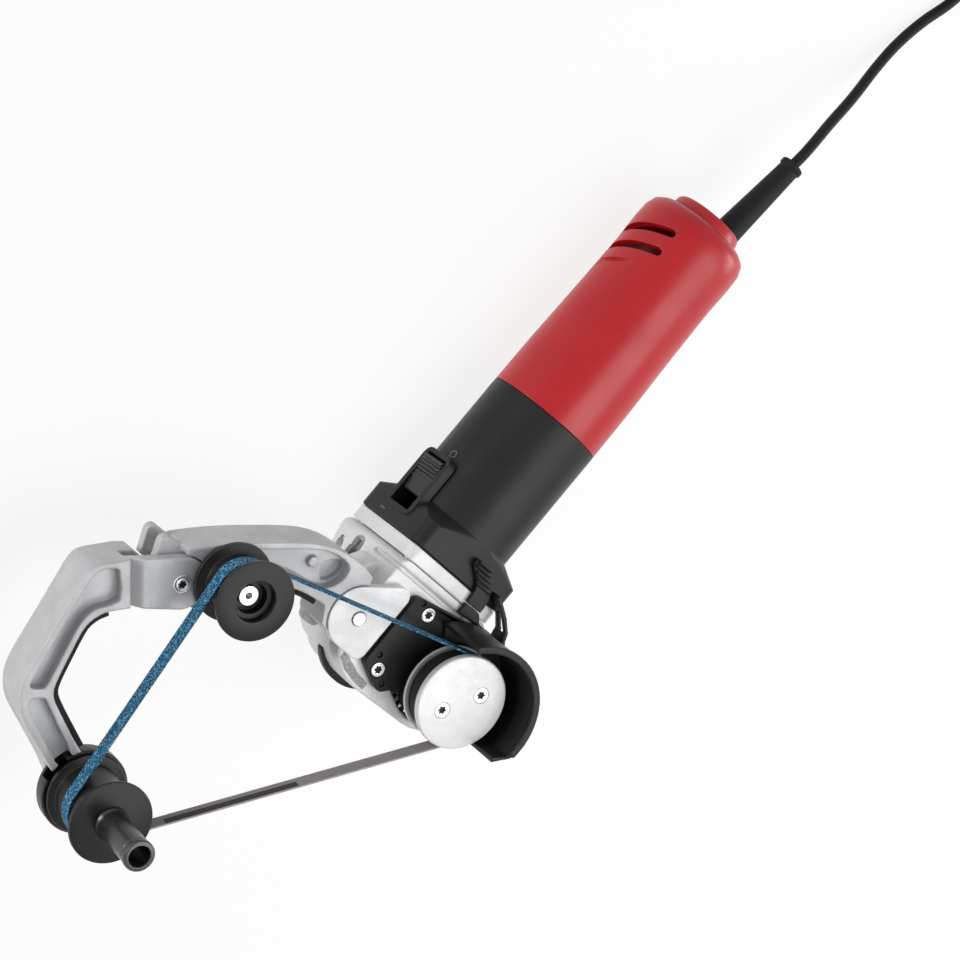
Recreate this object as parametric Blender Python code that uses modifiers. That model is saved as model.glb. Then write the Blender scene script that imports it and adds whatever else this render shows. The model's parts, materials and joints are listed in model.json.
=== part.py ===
"""Handheld pipe belt sander: motor, two-stage gear head, hinged belt arms and belt guard.

Machine axes: the motor runs along +X to the rear, the drive pulley axis is +Z and crosses x = 0,
and the belt arms reach out on the +Y side. Lengths are metres.
"""
from math import acos, atan2, cos, hypot, pi, radians, sin, tan

import bmesh
import bpy
from mathutils import Matrix, Vector

MM = 0.001

# Fits
GAP = 0.3 * MM
RUN = 0.4 * MM

# Motor housing, along X
HEAD_REAR = 41.1 * MM
SHIELD_LENGTH = 8.3 * MM
HOUSING_LENGTH = 100.5 * MM
COVER_LENGTH = 145.0 * MM
BARREL_RADIUS = 35.0 * MM
BARREL_WALL = 3.0 * MM
FLARE_LENGTH = 15.5 * MM
FLARE_TAPER = 8.0 * MM
FLARE_PROUD_Y = 2.5 * MM
FLARE_PROUD_Z = 0.2 * MM
FLARE_CORNER = 8.0 * MM
BULKHEAD_LENGTH = 10.0 * MM
VENT_WIDTH = 5.2 * MM

# Electric motor
SHAFT_RADIUS = 6.0 * MM
PINION_SEAT_RADIUS = 1.8 * MM
ROTOR_LENGTH = 46.0 * MM
ROTOR_SLOTS = 12
COMMUTATOR_RADIUS = 12.0 * MM
COMMUTATOR_LENGTH = 14.0 * MM
STATOR_CLEAR = 3.4 * MM
STATOR_DEPTH = 10.8 * MM
WINDING_LENGTH = 6.0 * MM
FAN_CLEAR = 3.0 * MM
FAN_LENGTH = 9.0 * MM
FAN_BLADES = 11
BEARING_LENGTH = 8.0 * MM
FRONT_BEARING_RADIUS = 13.5 * MM
REAR_BEARING_RADIUS = 11.0 * MM
BRUSH_WIDTH = 8.0 * MM

# Slide switch
SLIDER_LENGTH = 23.0 * MM
SLIDER_HALF_WIDTH = 9.8 * MM
SLIDER_TRAVEL = 8.0 * MM
SWITCH_PAD_PROUD = 3.6 * MM
ROD_HALF_WIDTH = 3.6 * MM
ROD_HEIGHT = 1.6 * MM

# Gear train
SPINDLE_Y = -32.0 * MM
COUNTER_X = 4.5 * MM
BEVEL_PINION_TEETH = 9
CROWN_TEETH = 27
CROWN_PITCH_RADIUS = 15.5 * MM
BEVEL_FACE = 5.2 * MM
SPUR_PINION_TEETH = 12
SPUR_GEAR_TEETH = 30
SPUR_FACE = 10.0 * MM
PRESSURE_ANGLE = radians(20)
BACKLASH = 0.36 * MM
SPUR_ADDENDUM = 0.85
BEVEL_ADDENDUM = 0.62
COUNTER_RADIUS = 4.0 * MM
SPINDLE_RADIUS = 6.0 * MM
SPINDLE_BEARING_RADIUS = 13.0 * MM
COUNTER_BEARING_RADIUS = 9.0 * MM

# Gear head casting
HEAD_BELOW_FLARE = 0.2 * MM
HEAD_STEP = -8.0 * MM
HEAD_FLOOR = 2.0 * MM
HEAD_LOBE_RADIUS = 30.0 * MM
GROOVE_BACK = 7.6 * MM
GROOVE_WIDTH = 2.6 * MM
GROOVE_DEPTH = 3.0 * MM
PLATE_THICK = 5.7 * MM
PLATE_SCREW_RADIUS = 4.3 * MM
HEAD_SCREW_RADIUS = 4.4 * MM

# Belt run, level with the pulley centres
BELT_WIDTH = 9.0 * MM
BELT_THICK = 1.0 * MM
BELT_LEVEL = 56.6 * MM
DRIVE_RADIUS = 24.6 * MM
IDLER_RADIUS = 16.0 * MM
ROLLER_RADIUS = 17.0 * MM
IDLER_X = -26.8 * MM
IDLER_Y = 115.5 * MM
ROLLER_X = -159.2 * MM
ROLLER_Y = 99.2 * MM

# Pulleys
DRIVE_DISC_RADIUS = 27.1 * MM
DRIVE_DISC_THICK = 4.0 * MM
DRIVE_FLANGE_RADIUS = 26.6 * MM
DRIVE_HUB_RADIUS = 16.0 * MM
DRIVE_FRONT = 65.7 * MM
DISC_SCREW_CIRCLE = 12.0 * MM
IDLER_FLANGE_RADIUS = 21.8 * MM
IDLER_BACK = 41.7 * MM
IDLER_FRONT = 71.5 * MM
IDLER_RECESS_RADIUS = 11.2 * MM
IDLER_RECESS_DEPTH = 9.0 * MM
IDLER_AXLE_RADIUS = 4.2 * MM
ROLLER_FLANGE_RADIUS = 22.6 * MM
ROLLER_BACK = 38.1 * MM
ROLLER_FRONT = 75.1 * MM
ROLLER_AXLE_RADIUS = 5.0 * MM
ROLLER_BOSS_RADIUS = 12.0 * MM
CUP_RADIUS = 23.6 * MM
CUP_HEIGHT = 10.0 * MM
KNOB_RADIUS = 8.5 * MM
KNOB_LENGTH = 38.0 * MM

# Arms
ARM_FRONT = 41.0 * MM
ARM_DEPTH = 28.0 * MM
RECESS_DEPTH = 7.0 * MM
TONGUE_THICK = 14.0 * MM
TONGUE_DROP = 2.0 * MM
PIN_X = -0.5 * MM
PIN_Y = 38.4 * MM
PIN_RADIUS = 3.9 * MM
EYE_RADIUS = 12.0 * MM
NOSE_RADIUS = 18.2 * MM
SPRING_POCKET_RADIUS = 17.6 * MM
SPRING_THICK = 1.0 * MM
HINGE_X = -44.0 * MM
HINGE_Y = 137.2 * MM
HINGE_RADIUS = 3.6 * MM
KNUCKLE_RADIUS = 14.5 * MM
EAR_THICK = 6.0 * MM
NOTCH_DEPTH = 6.0 * MM
FELT_THICK = 3.2 * MM
ARM_GRID = 1.0 * MM
ARM_TOP = 183.5 * MM

# Guard
GUARD_RADIUS = 38.5 * MM
GUARD_WALL = 2.4 * MM
GUARD_LIP = 0.8 * MM
GUARD_TOP = 82.0 * MM
GUARD_START = radians(44)
GUARD_END = radians(-100)
LATCH_THICK = 2.6 * MM
LATCH_X = 44.0 * MM
RIB_WALL = 2.4 * MM
RIB_HEIGHT = 14.0 * MM

# Cord
BOOT_RISE = 2.0 * MM
BOOT_SLANT = radians(-6.2)
BOOT_LENGTH = 56.0 * MM
BOOT_BASE_RADIUS = 8.1 * MM
BOOT_TIP_RADIUS = 6.2 * MM
CORD_RADIUS = 3.2 * MM
COIL_RADIUS = 37.6 * MM
COIL_LAYERS = 5
COIL_TURNS_WIDE = 4
COIL_X = 558.0 * MM
COIL_Y = -12.0 * MM
PLUG_RADIUS = 9.0 * MM
PLUG_TAIL = 15.0 * MM
PLUG_FROM_MIDDLE = 5.0 * MM
PLUG_TURN = radians(11)
PLUG_LENGTH = 34.0 * MM
PLUG_PIN_LENGTH = 19.0 * MM

# Stations derived from the sizes above
BARREL_BORE = BARREL_RADIUS - BARREL_WALL
FLARE_HALF_Y = BARREL_RADIUS + FLARE_PROUD_Y
FLARE_HALF_Z = BARREL_RADIUS + FLARE_PROUD_Z
HEAD_TOP = FLARE_HALF_Z - HEAD_BELOW_FLARE
COLLAR_RADIUS = 0.6 * BARREL_RADIUS
STATOR_RADIUS = BARREL_BORE - STATOR_CLEAR
ROTOR_AIR = 0.8 * MM
ROTOR_RADIUS = STATOR_RADIUS - STATOR_DEPTH - ROTOR_AIR
FAN_RADIUS = BARREL_BORE - FAN_CLEAR
SWITCH_PAD_HEIGHT = BARREL_RADIUS + SWITCH_PAD_PROUD
BOOT_OFFSET_Y = -0.38 * BARREL_RADIUS
SHIELD_X = HEAD_REAR + GAP
HOUSING_X = SHIELD_X + SHIELD_LENGTH + GAP
SEAM_X = HOUSING_X + HOUSING_LENGTH
COVER_X = SEAM_X + GAP
COVER_END = COVER_X + COVER_LENGTH
ROTOR_X = HOUSING_X + FLARE_LENGTH + FLARE_TAPER + 9 * MM
ROTOR_END = ROTOR_X + ROTOR_LENGTH
COMMUTATOR_X = COVER_X + 4 * MM
BULKHEAD_X = COMMUTATOR_X + COMMUTATOR_LENGTH + 9 * MM
SEAT_RADIUS = STATOR_RADIUS + GAP
SLIDER_Y = BARREL_RADIUS - BARREL_WALL
SLIDER_X = HOUSING_X + FLARE_LENGTH + 5.5 * MM
PLATE_LOW = HEAD_TOP + GAP
PLATE_HIGH = PLATE_LOW + PLATE_THICK
SPUR_LOW = HEAD_TOP - 7 * MM - SPUR_FACE
TONGUE_HIGH = HEAD_TOP - TONGUE_DROP
TONGUE_LOW = TONGUE_HIGH - TONGUE_THICK
SPUR_CENTRES = hypot(COUNTER_X, SPINDLE_Y)
SPUR_MODULE = 2 * SPUR_CENTRES / (SPUR_PINION_TEETH + SPUR_GEAR_TEETH)
BEVEL_MODULE = 2 * CROWN_PITCH_RADIUS / CROWN_TEETH
BEVEL_PITCH_RADIUS = BEVEL_MODULE * BEVEL_PINION_TEETH / 2
CROWN_BACK = BEVEL_PITCH_RADIUS + 3.4 * MM
BELT_LOW = BELT_LEVEL - BELT_WIDTH / 2
BELT_HIGH = BELT_LEVEL + BELT_WIDTH / 2
DISC_BACK = DRIVE_FRONT - DRIVE_DISC_THICK
FLANGE_TOP = BELT_LOW - 2.8 * MM
GUARD_BACK = PLATE_HIGH + GAP
CUP_BASE = ROLLER_BACK - GAP - CUP_HEIGHT
ARM_BACK = ARM_FRONT - ARM_DEPTH
RECESS_FLOOR = ARM_FRONT - RECESS_DEPTH
SPINDLE = Vector((0, SPINDLE_Y, 0))
COUNTER = Vector((COUNTER_X, 0, 0))
IDLER = Vector((IDLER_X, IDLER_Y, 0))
ROLLER = Vector((ROLLER_X, ROLLER_Y, 0))
PIN = Vector((PIN_X, PIN_Y, 0))
HINGE = Vector((HINGE_X, HINGE_Y, 0))
FLOOR = -FLARE_HALF_Z
COIL_HEIGHT = 2 * CORD_RADIUS * COIL_LAYERS
COIL_HALF_WIDTH = CORD_RADIUS * COIL_TURNS_WIDE

# The part's origin sits under the middle of the machine, on the floor
HOME = Vector((
    -(COVER_END + ROLLER_X - CUP_RADIUS) / 2,
    -(ARM_TOP + SPINDLE_Y - GUARD_RADIUS - GUARD_LIP) / 2,
    -FLOOR,
))

# Directions a profile or outline can be built along
ALONG_Z = Matrix.Identity(4)
ALONG_X = Matrix(((0, 0, 1, 0), (1, 0, 0, 0), (0, 1, 0, 0), (0, 0, 0, 1)))
ALONG_Y = Matrix(((0, 1, 0, 0), (0, 0, 1, 0), (1, 0, 0, 0), (0, 0, 0, 1)))

# Finish: colour, roughness, metallic
FINISHES = {
    "black_nylon": ((0.028, 0.029, 0.031), 0.5, 0.0),
    "red_nylon": ((0.52, 0.03, 0.025), 0.4, 0.0),
    "grey_nylon": ((0.06, 0.062, 0.066), 0.55, 0.0),
    "cast_alloy": ((0.72, 0.73, 0.74), 0.45, 0.6),
    "bare_alloy": ((0.8, 0.81, 0.82), 0.3, 1.0),
    "black_coat": ((0.02, 0.02, 0.022), 0.38, 0.0),
    "steel": ((0.62, 0.63, 0.65), 0.3, 1.0),
    "dark_steel": ((0.2, 0.2, 0.21), 0.4, 1.0),
    "core_steel": ((0.35, 0.35, 0.36), 0.5, 0.8),
    "copper": ((0.7, 0.32, 0.16), 0.35, 1.0),
    "rubber": ((0.025, 0.025, 0.026), 0.8, 0.0),
    "felt": ((0.03, 0.03, 0.032), 0.95, 0.0),
    "blue_grit": ((0.03, 0.13, 0.42), 0.9, 0.0),
}


class Workshop:
    """Holds the collections, the origin empty and the small set of modelling moves."""

    def __init__(self):
        for old in list(bpy.data.objects):
            bpy.data.objects.remove(old, do_unlink=True)
        self.parts = self.collection("pipe_belt_sander")
        self.cutters = self.collection("cutters")
        self.home = bpy.data.objects.new("machine_origin", None)
        self.home.location = HOME
        self.parts.objects.link(self.home)

    def collection(self, name):
        group = bpy.data.collections.new(name)
        bpy.context.scene.collection.children.link(group)
        return group

    def add(self, name, mesh, finish, matrix):
        """Put a mesh into the scene as a finished piece, or as a guide when finish is None."""
        piece = bpy.data.objects.new(name, mesh)
        piece.parent = self.home
        piece.matrix_basis = matrix
        if finish is None:
            self.cutters.objects.link(piece)
            piece.hide_render = True
            piece.display_type = "WIRE"
            return piece
        self.parts.objects.link(piece)
        colour, roughness, metallic = FINISHES[finish]
        material = bpy.data.materials.new(name)
        material.use_nodes = True
        shader = material.node_tree.nodes["Principled BSDF"]
        shader.inputs["Base Color"].default_value = (*colour, 1)
        shader.inputs["Roughness"].default_value = roughness
        shader.inputs["Metallic"].default_value = metallic
        mesh.materials.append(material)
        return piece

    def turned(self, name, profile, finish=None, at=(0, 0, 0), along=ALONG_Z, steps=32):
        """Turn a profile of (radius, height) points that runs down its outer side."""
        mesh = bpy.data.meshes.new(name)
        points = [(radius, 0, height) for radius, height in profile]
        edges = [(i, i + 1) for i in range(len(points) - 1)]
        if profile[0][0] > 0:
            edges.append((len(points) - 1, 0))
        mesh.from_pydata(points, edges, [])
        piece = self.add(name, mesh, finish, Matrix.Translation(at) @ along)
        screw = piece.modifiers.new("Turn", "SCREW")
        screw.steps = steps
        screw.render_steps = steps
        screw.use_merge_vertices = True
        screw.merge_threshold = 0.00001
        return piece

    def rod(self, name, radius, low, high, finish=None, at=(0, 0, 0), along=ALONG_Z, steps=24):
        """A plain round bar."""
        profile = [(0, high), (radius, high), (radius, low), (0, low)]
        return self.turned(name, profile, finish, at, along, steps)

    def ring(self, name, outer, inner, low, high, finish=None, at=(0, 0, 0), along=ALONG_Z, steps=32):
        """A plain round ring."""
        profile = [(outer, high), (outer, low), (inner, low), (inner, high)]
        return self.turned(name, profile, finish, at, along, steps)

    def slab(self, name, outline, low, high, finish=None, holes=(), at=(0, 0, 0), along=ALONG_Z):
        """Fill a flat outline and give it thickness from low to high."""
        curve = bpy.data.curves.new(name, "CURVE")
        curve.dimensions = "2D"
        curve.fill_mode = "BOTH"
        curve.extrude = (high - low) / 2
        for loop in (outline, *holes):
            spline = curve.splines.new("POLY")
            spline.points.add(len(loop) - 1)
            spline.use_cyclic_u = True
            for point, (x, y) in zip(spline.points, loop):
                point.co = (x, y, 0, 1)
        guide = bpy.data.objects.new(name, curve)
        self.cutters.objects.link(guide)
        graph = bpy.context.evaluated_depsgraph_get()
        mesh = bpy.data.meshes.new_from_object(guide.evaluated_get(graph))
        bpy.data.objects.remove(guide, do_unlink=True)
        bm = bmesh.new()
        bm.from_mesh(mesh)
        bmesh.ops.remove_doubles(bm, verts=bm.verts, dist=0.000002)
        bmesh.ops.translate(bm, verts=bm.verts, vec=(0, 0, (low + high) / 2))
        bmesh.ops.recalc_face_normals(bm, faces=bm.faces)
        bm.to_mesh(mesh)
        bm.free()
        mesh.name = name
        mesh.materials.clear()
        return self.add(name, mesh, finish, Matrix.Translation(at) @ along)

    def box(self, name, low, high, finish=None):
        """A block between two corners."""
        bm = bmesh.new()
        bmesh.ops.create_cube(bm, size=1)
        size = [b - a for a, b in zip(low, high)]
        middle = [(a + b) / 2 for a, b in zip(low, high)]
        bmesh.ops.scale(bm, vec=size, verts=bm.verts)
        mesh = bpy.data.meshes.new(name)
        bm.to_mesh(mesh)
        bm.free()
        return self.add(name, mesh, finish, Matrix.Translation(middle))

    def loft(self, name, rings, finish=None, at=(0, 0, 0), along=ALONG_Z):
        """Skin a closed chain of rings that all hold the same number of points."""
        count = len(rings[0])
        bm = bmesh.new()
        loops = [[bm.verts.new(point) for point in ring] for ring in rings]
        for here, there in zip(loops, loops[1:] + loops[:1]):
            for i in range(count):
                j = (i + 1) % count
                bm.faces.new((here[i], here[j], there[j], there[i]))
        bmesh.ops.recalc_face_normals(bm, faces=bm.faces)
        mesh = bpy.data.meshes.new(name)
        bm.to_mesh(mesh)
        bm.free()
        return self.add(name, mesh, finish, Matrix.Translation(at) @ along)

    def tube(self, name, points, radius, finish):
        """A round tube with closed ends along a chain of points."""
        curve = bpy.data.curves.new(name, "CURVE")
        curve.dimensions = "3D"
        curve.bevel_depth = radius
        curve.bevel_resolution = 2
        curve.use_fill_caps = True
        spline = curve.splines.new("POLY")
        spline.points.add(len(points) - 1)
        for point, place in zip(spline.points, points):
            point.co = (*place, 1)
        guide = bpy.data.objects.new(name, curve)
        self.cutters.objects.link(guide)
        graph = bpy.context.evaluated_depsgraph_get()
        mesh = bpy.data.meshes.new_from_object(guide.evaluated_get(graph))
        bpy.data.objects.remove(guide, do_unlink=True)
        bm = bmesh.new()
        bm.from_mesh(mesh)
        bmesh.ops.remove_doubles(bm, verts=bm.verts, dist=0.000002)
        bmesh.ops.recalc_face_normals(bm, faces=bm.faces)
        bm.to_mesh(mesh)
        bm.free()
        mesh.name = name
        mesh.materials.clear()
        return self.add(name, mesh, finish, Matrix.Identity(4))

    def combine(self, piece, others, operation):
        for other in others:
            step = piece.modifiers.new(operation.title(), "BOOLEAN")
            step.operation = operation
            step.solver = "EXACT"
            step.object = other

    def cut(self, piece, *cutters):
        """Take the cutters out of a piece."""
        self.combine(piece, cutters, "DIFFERENCE")

    def fuse(self, piece, *guides):
        """Make the guides one body with a piece."""
        self.combine(piece, guides, "UNION")

    def hang(self, piece, point):
        """Move a piece's origin onto its joint axis and leave its shape where it is."""
        shift = piece.matrix_basis.inverted() @ Vector(point)
        piece.data.transform(Matrix.Translation(-shift))
        piece.matrix_basis = piece.matrix_basis @ Matrix.Translation(shift)


def circle(radius, count=32, centre=(0, 0), start=0.0):
    """Points round a full circle."""
    return arc(centre, radius, start, start + 2 * pi * (count - 1) / count, count)


def arc(centre, radius, begin, end, count):
    """Points along part of a circle, both ends included."""
    turns = [begin + (end - begin) * i / (count - 1) for i in range(count)]
    return [(centre[0] + radius * cos(a), centre[1] + radius * sin(a)) for a in turns]


def rounded(half_x, half_y, corner, per_corner=6):
    """A rectangle with round corners."""
    points = []
    for k, (sx, sy) in enumerate(((1, 1), (-1, 1), (-1, -1), (1, -1))):
        centre = (sx * (half_x - corner), sy * (half_y - corner))
        points += arc(centre, corner, k * pi / 2, (k + 1) * pi / 2, per_corner)
    return points


def matched_circle(radius, per_corner):
    """A circle whose points pair up with those of a rounded rectangle."""
    count = 4 * per_corner
    return circle(radius, count, start=pi / count)


def wrap(circles, count=28):
    """The tight outline round a set of (x, y, radius) circles."""
    cloud = sorted({p for x, y, r in circles for p in circle(r, count, (x, y))})

    def chain(points):
        hull = []
        for p in points:
            while len(hull) > 1:
                (ax, ay), (bx, by) = hull[-2:]
                if (bx - ax) * (p[1] - ay) - (by - ay) * (p[0] - ax) > 1e-9:
                    break
                hull.pop()
            hull.append(p)
        return hull[:-1]

    return chain(cloud) + chain(cloud[::-1])


def smooth(points, steps=3, closed=True, unit=ARM_GRID):
    """A flowing line through the points given, which count in units, with its points in metres."""
    count = len(points)
    spans = count if closed else count - 1
    line = []
    for i in range(spans):
        if closed:
            a, b, c, d = (points[(i + k) % count] for k in (-1, 0, 1, 2))
        else:
            a, b, c, d = (points[min(max(i + k, 0), count - 1)] for k in (-1, 0, 1, 2))
        for s in range(steps):
            t = s / steps
            line.append(tuple(
                unit * 0.5 * (2 * b[k] + (c[k] - a[k]) * t + (2 * a[k] - 5 * b[k] + 4 * c[k] - d[k]) * t ** 2
                            + (3 * b[k] - a[k] - 3 * c[k] + d[k]) * t ** 3)
                for k in range(len(b))
            ))
    if not closed:
        line.append(tuple(unit * value for value in points[-1]))
    return line


def band(line, near, far):
    """The closed outline of a strip that runs beside a line, on its left-hand side."""
    sides = []
    for i, here in enumerate(line):
        before = line[max(i - 1, 0)]
        after = line[min(i + 1, len(line) - 1)]
        dx, dy = after[0] - before[0], after[1] - before[1]
        length = hypot(dx, dy)
        sides.append((here, (-dy / length, dx / length)))
    inner = [(p[0] + near * n[0], p[1] + near * n[1]) for p, n in sides]
    outer = [(p[0] + far * n[0], p[1] + far * n[1]) for p, n in sides]
    return inner + outer[::-1]


def polar(radius, turn, centre=(0, 0)):
    """A point at a radius and a turn about a centre."""
    return (centre[0] + radius * cos(turn), centre[1] + radius * sin(turn))


def tooth_half_turn(radius, pitch_radius, teeth):
    """Half the angle an involute tooth spans at a radius."""
    base = pitch_radius * cos(PRESSURE_ANGLE)
    roll = acos(min(1.0, base / radius))
    at_pitch = tan(PRESSURE_ANGLE) - PRESSURE_ANGLE
    return pi / 2 / teeth - BACKLASH / 2 / pitch_radius + at_pitch - (tan(roll) - roll)


def tooth_points(teeth, module, addendum, spread=1.0):
    """(radius, half angle) pairs from the root to the tip of one tooth."""
    pitch = module * teeth / 2
    base = pitch * cos(PRESSURE_ANGLE)
    root = pitch - 1.25 * module
    tip = pitch + addendum * module
    first = max(root, base)
    radii = [first, tip]
    points = [(r, spread * tooth_half_turn(r, pitch, teeth)) for r in radii]
    if root < base:
        points.insert(0, (root, points[0][1]))
    return points


def gear_outline(teeth, module, start):
    """The outline of a spur gear with a tooth centred on the start angle."""
    flank = tooth_points(teeth, module, SPUR_ADDENDUM)
    line = []
    for k in range(teeth):
        middle = start + 2 * pi * k / teeth
        line += [polar(r, middle - half) for r, half in flank]
        line += [polar(r, middle + half) for r, half in flank[::-1]]
    return line


def bevel_rings(teeth, module, other_teeth, face, start, bore, back):
    """Rings of a bevel gear on the Z axis with its cone's point at the origin, teeth towards it."""
    cone = atan2(teeth, other_teeth)
    pitch = module * teeth / 2
    reach = pitch / sin(cone)
    virtual = teeth / cos(cone)
    flank = tooth_points(virtual, module, BEVEL_ADDENDUM, 1 / cos(cone))
    grow = virtual * module / 2
    shape = []
    for k in range(teeth):
        middle = start + 2 * pi * k / teeth
        side = [(r, middle - half) for r, half in flank] + [(r, middle + half) for r, half in flank[::-1]]
        for r, turn in side:
            lift = r - grow
            shape.append((pitch + lift * cos(cone), turn, reach * cos(cone) - lift * sin(cone)))
    small = (reach - face) / reach
    outer = [(*polar(r, turn), h) for r, turn, h in shape]
    inner = [(small * x, small * y, small * h) for x, y, h in outer]
    turns = [turn for _, turn, _ in shape]
    low = min(h for _, _, h in inner)
    rim = min(r for r, _, _ in shape)
    return [
        outer,
        inner,
        [(*polar(bore, turn), low) for turn in turns],
        [(*polar(bore, turn), back) for turn in turns],
        [(*polar(rim, turn), back) for turn in turns],
    ]


def belt_loop(offset):
    """The belt's line at an offset from the drums, counter-clockwise, as (x, y) points."""
    wheels = ((SPINDLE, DRIVE_RADIUS, 20), (IDLER, IDLER_RADIUS, 12), (ROLLER, ROLLER_RADIUS, 16))
    leave = []
    for k in range(3):
        here, radius, _ = wheels[k]
        there, other, _ = wheels[(k + 1) % 3]
        run = there - here
        leave.append(atan2(run.y, run.x) - pi / 2 + atan2(radius - other, run.length))
    line = []
    for k in range(3):
        centre, radius, count = wheels[k]
        begin, end = leave[k - 1], leave[k]
        while end < begin:
            end += 2 * pi
        line += arc(centre, radius + offset, begin, end, count)
        after, other, _ = wheels[(k + 1) % 3]
        a = Vector(polar(radius + offset, end, centre))
        b = Vector(polar(other + offset, end, after))
        line += [tuple(a.lerp(b, t / 6)) for t in range(1, 6)]
    return line


def screw(shop, name, at, head, head_height, shank, length, finish="steel", along=ALONG_Z,
          countersunk=False):
    """A socket screw whose head's face is at its origin and whose shank runs back along its axis."""
    under = shank if countersunk else head
    profile = [(0, 0), (head, 0), (under, -head_height), (shank, -head_height), (shank, -length),
               (0, -length)]
    if countersunk:
        profile.pop(2)
    piece = shop.turned(name, profile, finish, at, along, 14)
    socket = shop.slab(name + "_socket", circle(0.55 * head, 6), -0.6 * head_height, GAP, None, (), at, along)
    shop.cut(piece, socket)
    return piece


def motor_housing(shop):
    """Black barrel with a square flare in front and a channel for the slide switch."""
    per = 9
    flare = rounded(FLARE_HALF_Y, FLARE_HALF_Z, FLARE_CORNER, per)
    bore = BARREL_RADIUS - BARREL_WALL
    shoulder = HOUSING_X + FLARE_LENGTH
    rear_seat = ROTOR_END + 5 * MM
    front_seat = ROTOR_X - 5 * MM
    stations = [
        (HOUSING_X, [(y * 0.985, z * 0.985) for y, z in flare]),
        (HOUSING_X + 1 * MM, flare),
        (shoulder, flare),
        (shoulder + FLARE_TAPER, matched_circle(BARREL_RADIUS, per)),
        (SEAM_X, matched_circle(BARREL_RADIUS, per)),
        (SEAM_X, matched_circle(bore, per)),
        (rear_seat + 2 * MM, matched_circle(bore, per)),
        (rear_seat, matched_circle(SEAT_RADIUS, per)),
        (front_seat, matched_circle(SEAT_RADIUS, per)),
        (front_seat - 2 * MM, matched_circle(bore, per)),
        (HOUSING_X, matched_circle(bore, per)),
    ]
    rings = [[(y, z, x) for y, z in ring] for x, ring in stations]
    shell = shop.loft("motor_housing", rings, "black_nylon", (0, 0, 0), ALONG_X)
    slot_low = SLIDER_X - SLIDER_TRAVEL - 1.5 * MM
    slot_high = SLIDER_X + SLIDER_LENGTH + 1.0 * MM
    middle = (slot_low + slot_high) / 2
    half = (slot_high - slot_low) / 2
    outline = [(z, x + middle) for z, x in rounded(SLIDER_HALF_WIDTH + 4 * MM, half + 3 * MM, 5 * MM, 5)]
    pad = shop.slab("switch_pad", outline, bore + 1 * MM, SWITCH_PAD_HEIGHT, None, (), (0, 0, 0), ALONG_Y)
    wide = SLIDER_HALF_WIDTH + GAP
    slot = shop.box("switch_slot", (slot_low, 0.8 * SEAT_RADIUS, -wide),
                    (slot_high, 1.5 * BARREL_RADIUS, wide))
    narrow = ROD_HALF_WIDTH + RUN
    groove = shop.box("rod_groove", (slot_low + 9 * MM, 0.9 * SEAT_RADIUS, -narrow),
                      (SEAM_X + 1 * MM, SLIDER_Y + GAP + RUN, narrow))
    shop.fuse(shell, pad)
    shop.cut(shell, slot, groove)
    for k, (y, z) in enumerate(head_screw_places()):
        hole = shop.rod(f"housing_screw_hole_{k}", 2.6 * MM, HOUSING_X - 1 * MM, HOUSING_X + 13 * MM,
                        None, (0, y, z), ALONG_X, 12)
        shop.cut(shell, hole)


def rear_cover(shop):
    """Red rear cover with slanted vents, a bearing bulkhead and a stepped collar for the cord."""
    inside = BARREL_RADIUS - BARREL_WALL
    seat = REAR_BEARING_RADIUS + GAP
    bulkhead_end = BULKHEAD_X + BULKHEAD_LENGTH
    profile = [
        (0, COVER_END),
        (COLLAR_RADIUS - 1.5 * MM, COVER_END),
        (COLLAR_RADIUS, COVER_END - 1.5 * MM),
        (COLLAR_RADIUS + 0.8 * MM, COVER_END - 6.5 * MM),
        (0.78 * BARREL_RADIUS, COVER_END - 7.5 * MM),
        (0.89 * BARREL_RADIUS, COVER_END - 10.5 * MM),
        (0.945 * BARREL_RADIUS, COVER_END - 16 * MM),
        (0.957 * BARREL_RADIUS, COVER_END - 25 * MM),
        (0.942 * BARREL_RADIUS, COVER_END - 42 * MM),
        (0.958 * BARREL_RADIUS, COVER_END - 72 * MM),
        (0.992 * BARREL_RADIUS, COVER_END - 115 * MM),
        (BARREL_RADIUS, COVER_X),
        (inside, COVER_X),
        (0.965 * inside, BULKHEAD_X),
        (seat, BULKHEAD_X),
        (seat, bulkhead_end),
        (0.93 * inside, bulkhead_end),
        (0.9 * inside, COVER_END - 14 * MM),
        (0, COVER_END - 14 * MM),
    ]
    cover = shop.turned("rear_cover", profile, "red_nylon", (0, 0, 0), ALONG_X, 36)
    for side in (1, -1):
        for k, inner in enumerate((0.4, 0.4, 0.885)):
            middle = COVER_END - 31 * MM - k * 12.6 * MM
            low = (-19 * MM, middle - 5.5 * MM, VENT_WIDTH / 2)
            high = (19 * MM, middle + 5.5 * MM, VENT_WIDTH / 2)
            reach = sorted((side * inner * BARREL_RADIUS, side * 1.3 * BARREL_RADIUS))
            vent = shop.slab(f"vent_{side}_{k}", wrap((low, high), 8), *reach, None, (), (0, 0, 0), ALONG_Y)
            shop.cut(cover, vent)
    port = shop.rod("cord_port", BOOT_BASE_RADIUS + GAP, -30 * MM, 8 * MM, None, boot_base(), boot_turn(), 18)
    shop.cut(cover, port)


def boot_base():
    """Where the cord sleeve leaves the rear cover."""
    return Vector((COVER_END, BOOT_OFFSET_Y, BOOT_RISE))


def boot_turn():
    """Rotation that takes +Z to the sleeve's direction."""
    return Matrix.Rotation(BOOT_SLANT, 4, "Z") @ ALONG_X


def head_screw_places():
    """(y, z) of the three screws that hold the gear head."""
    y = FLARE_HALF_Y - FLARE_CORNER
    z = FLARE_HALF_Z - FLARE_CORNER
    return ((y, -z), (-y, -z), (y, z))


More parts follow.
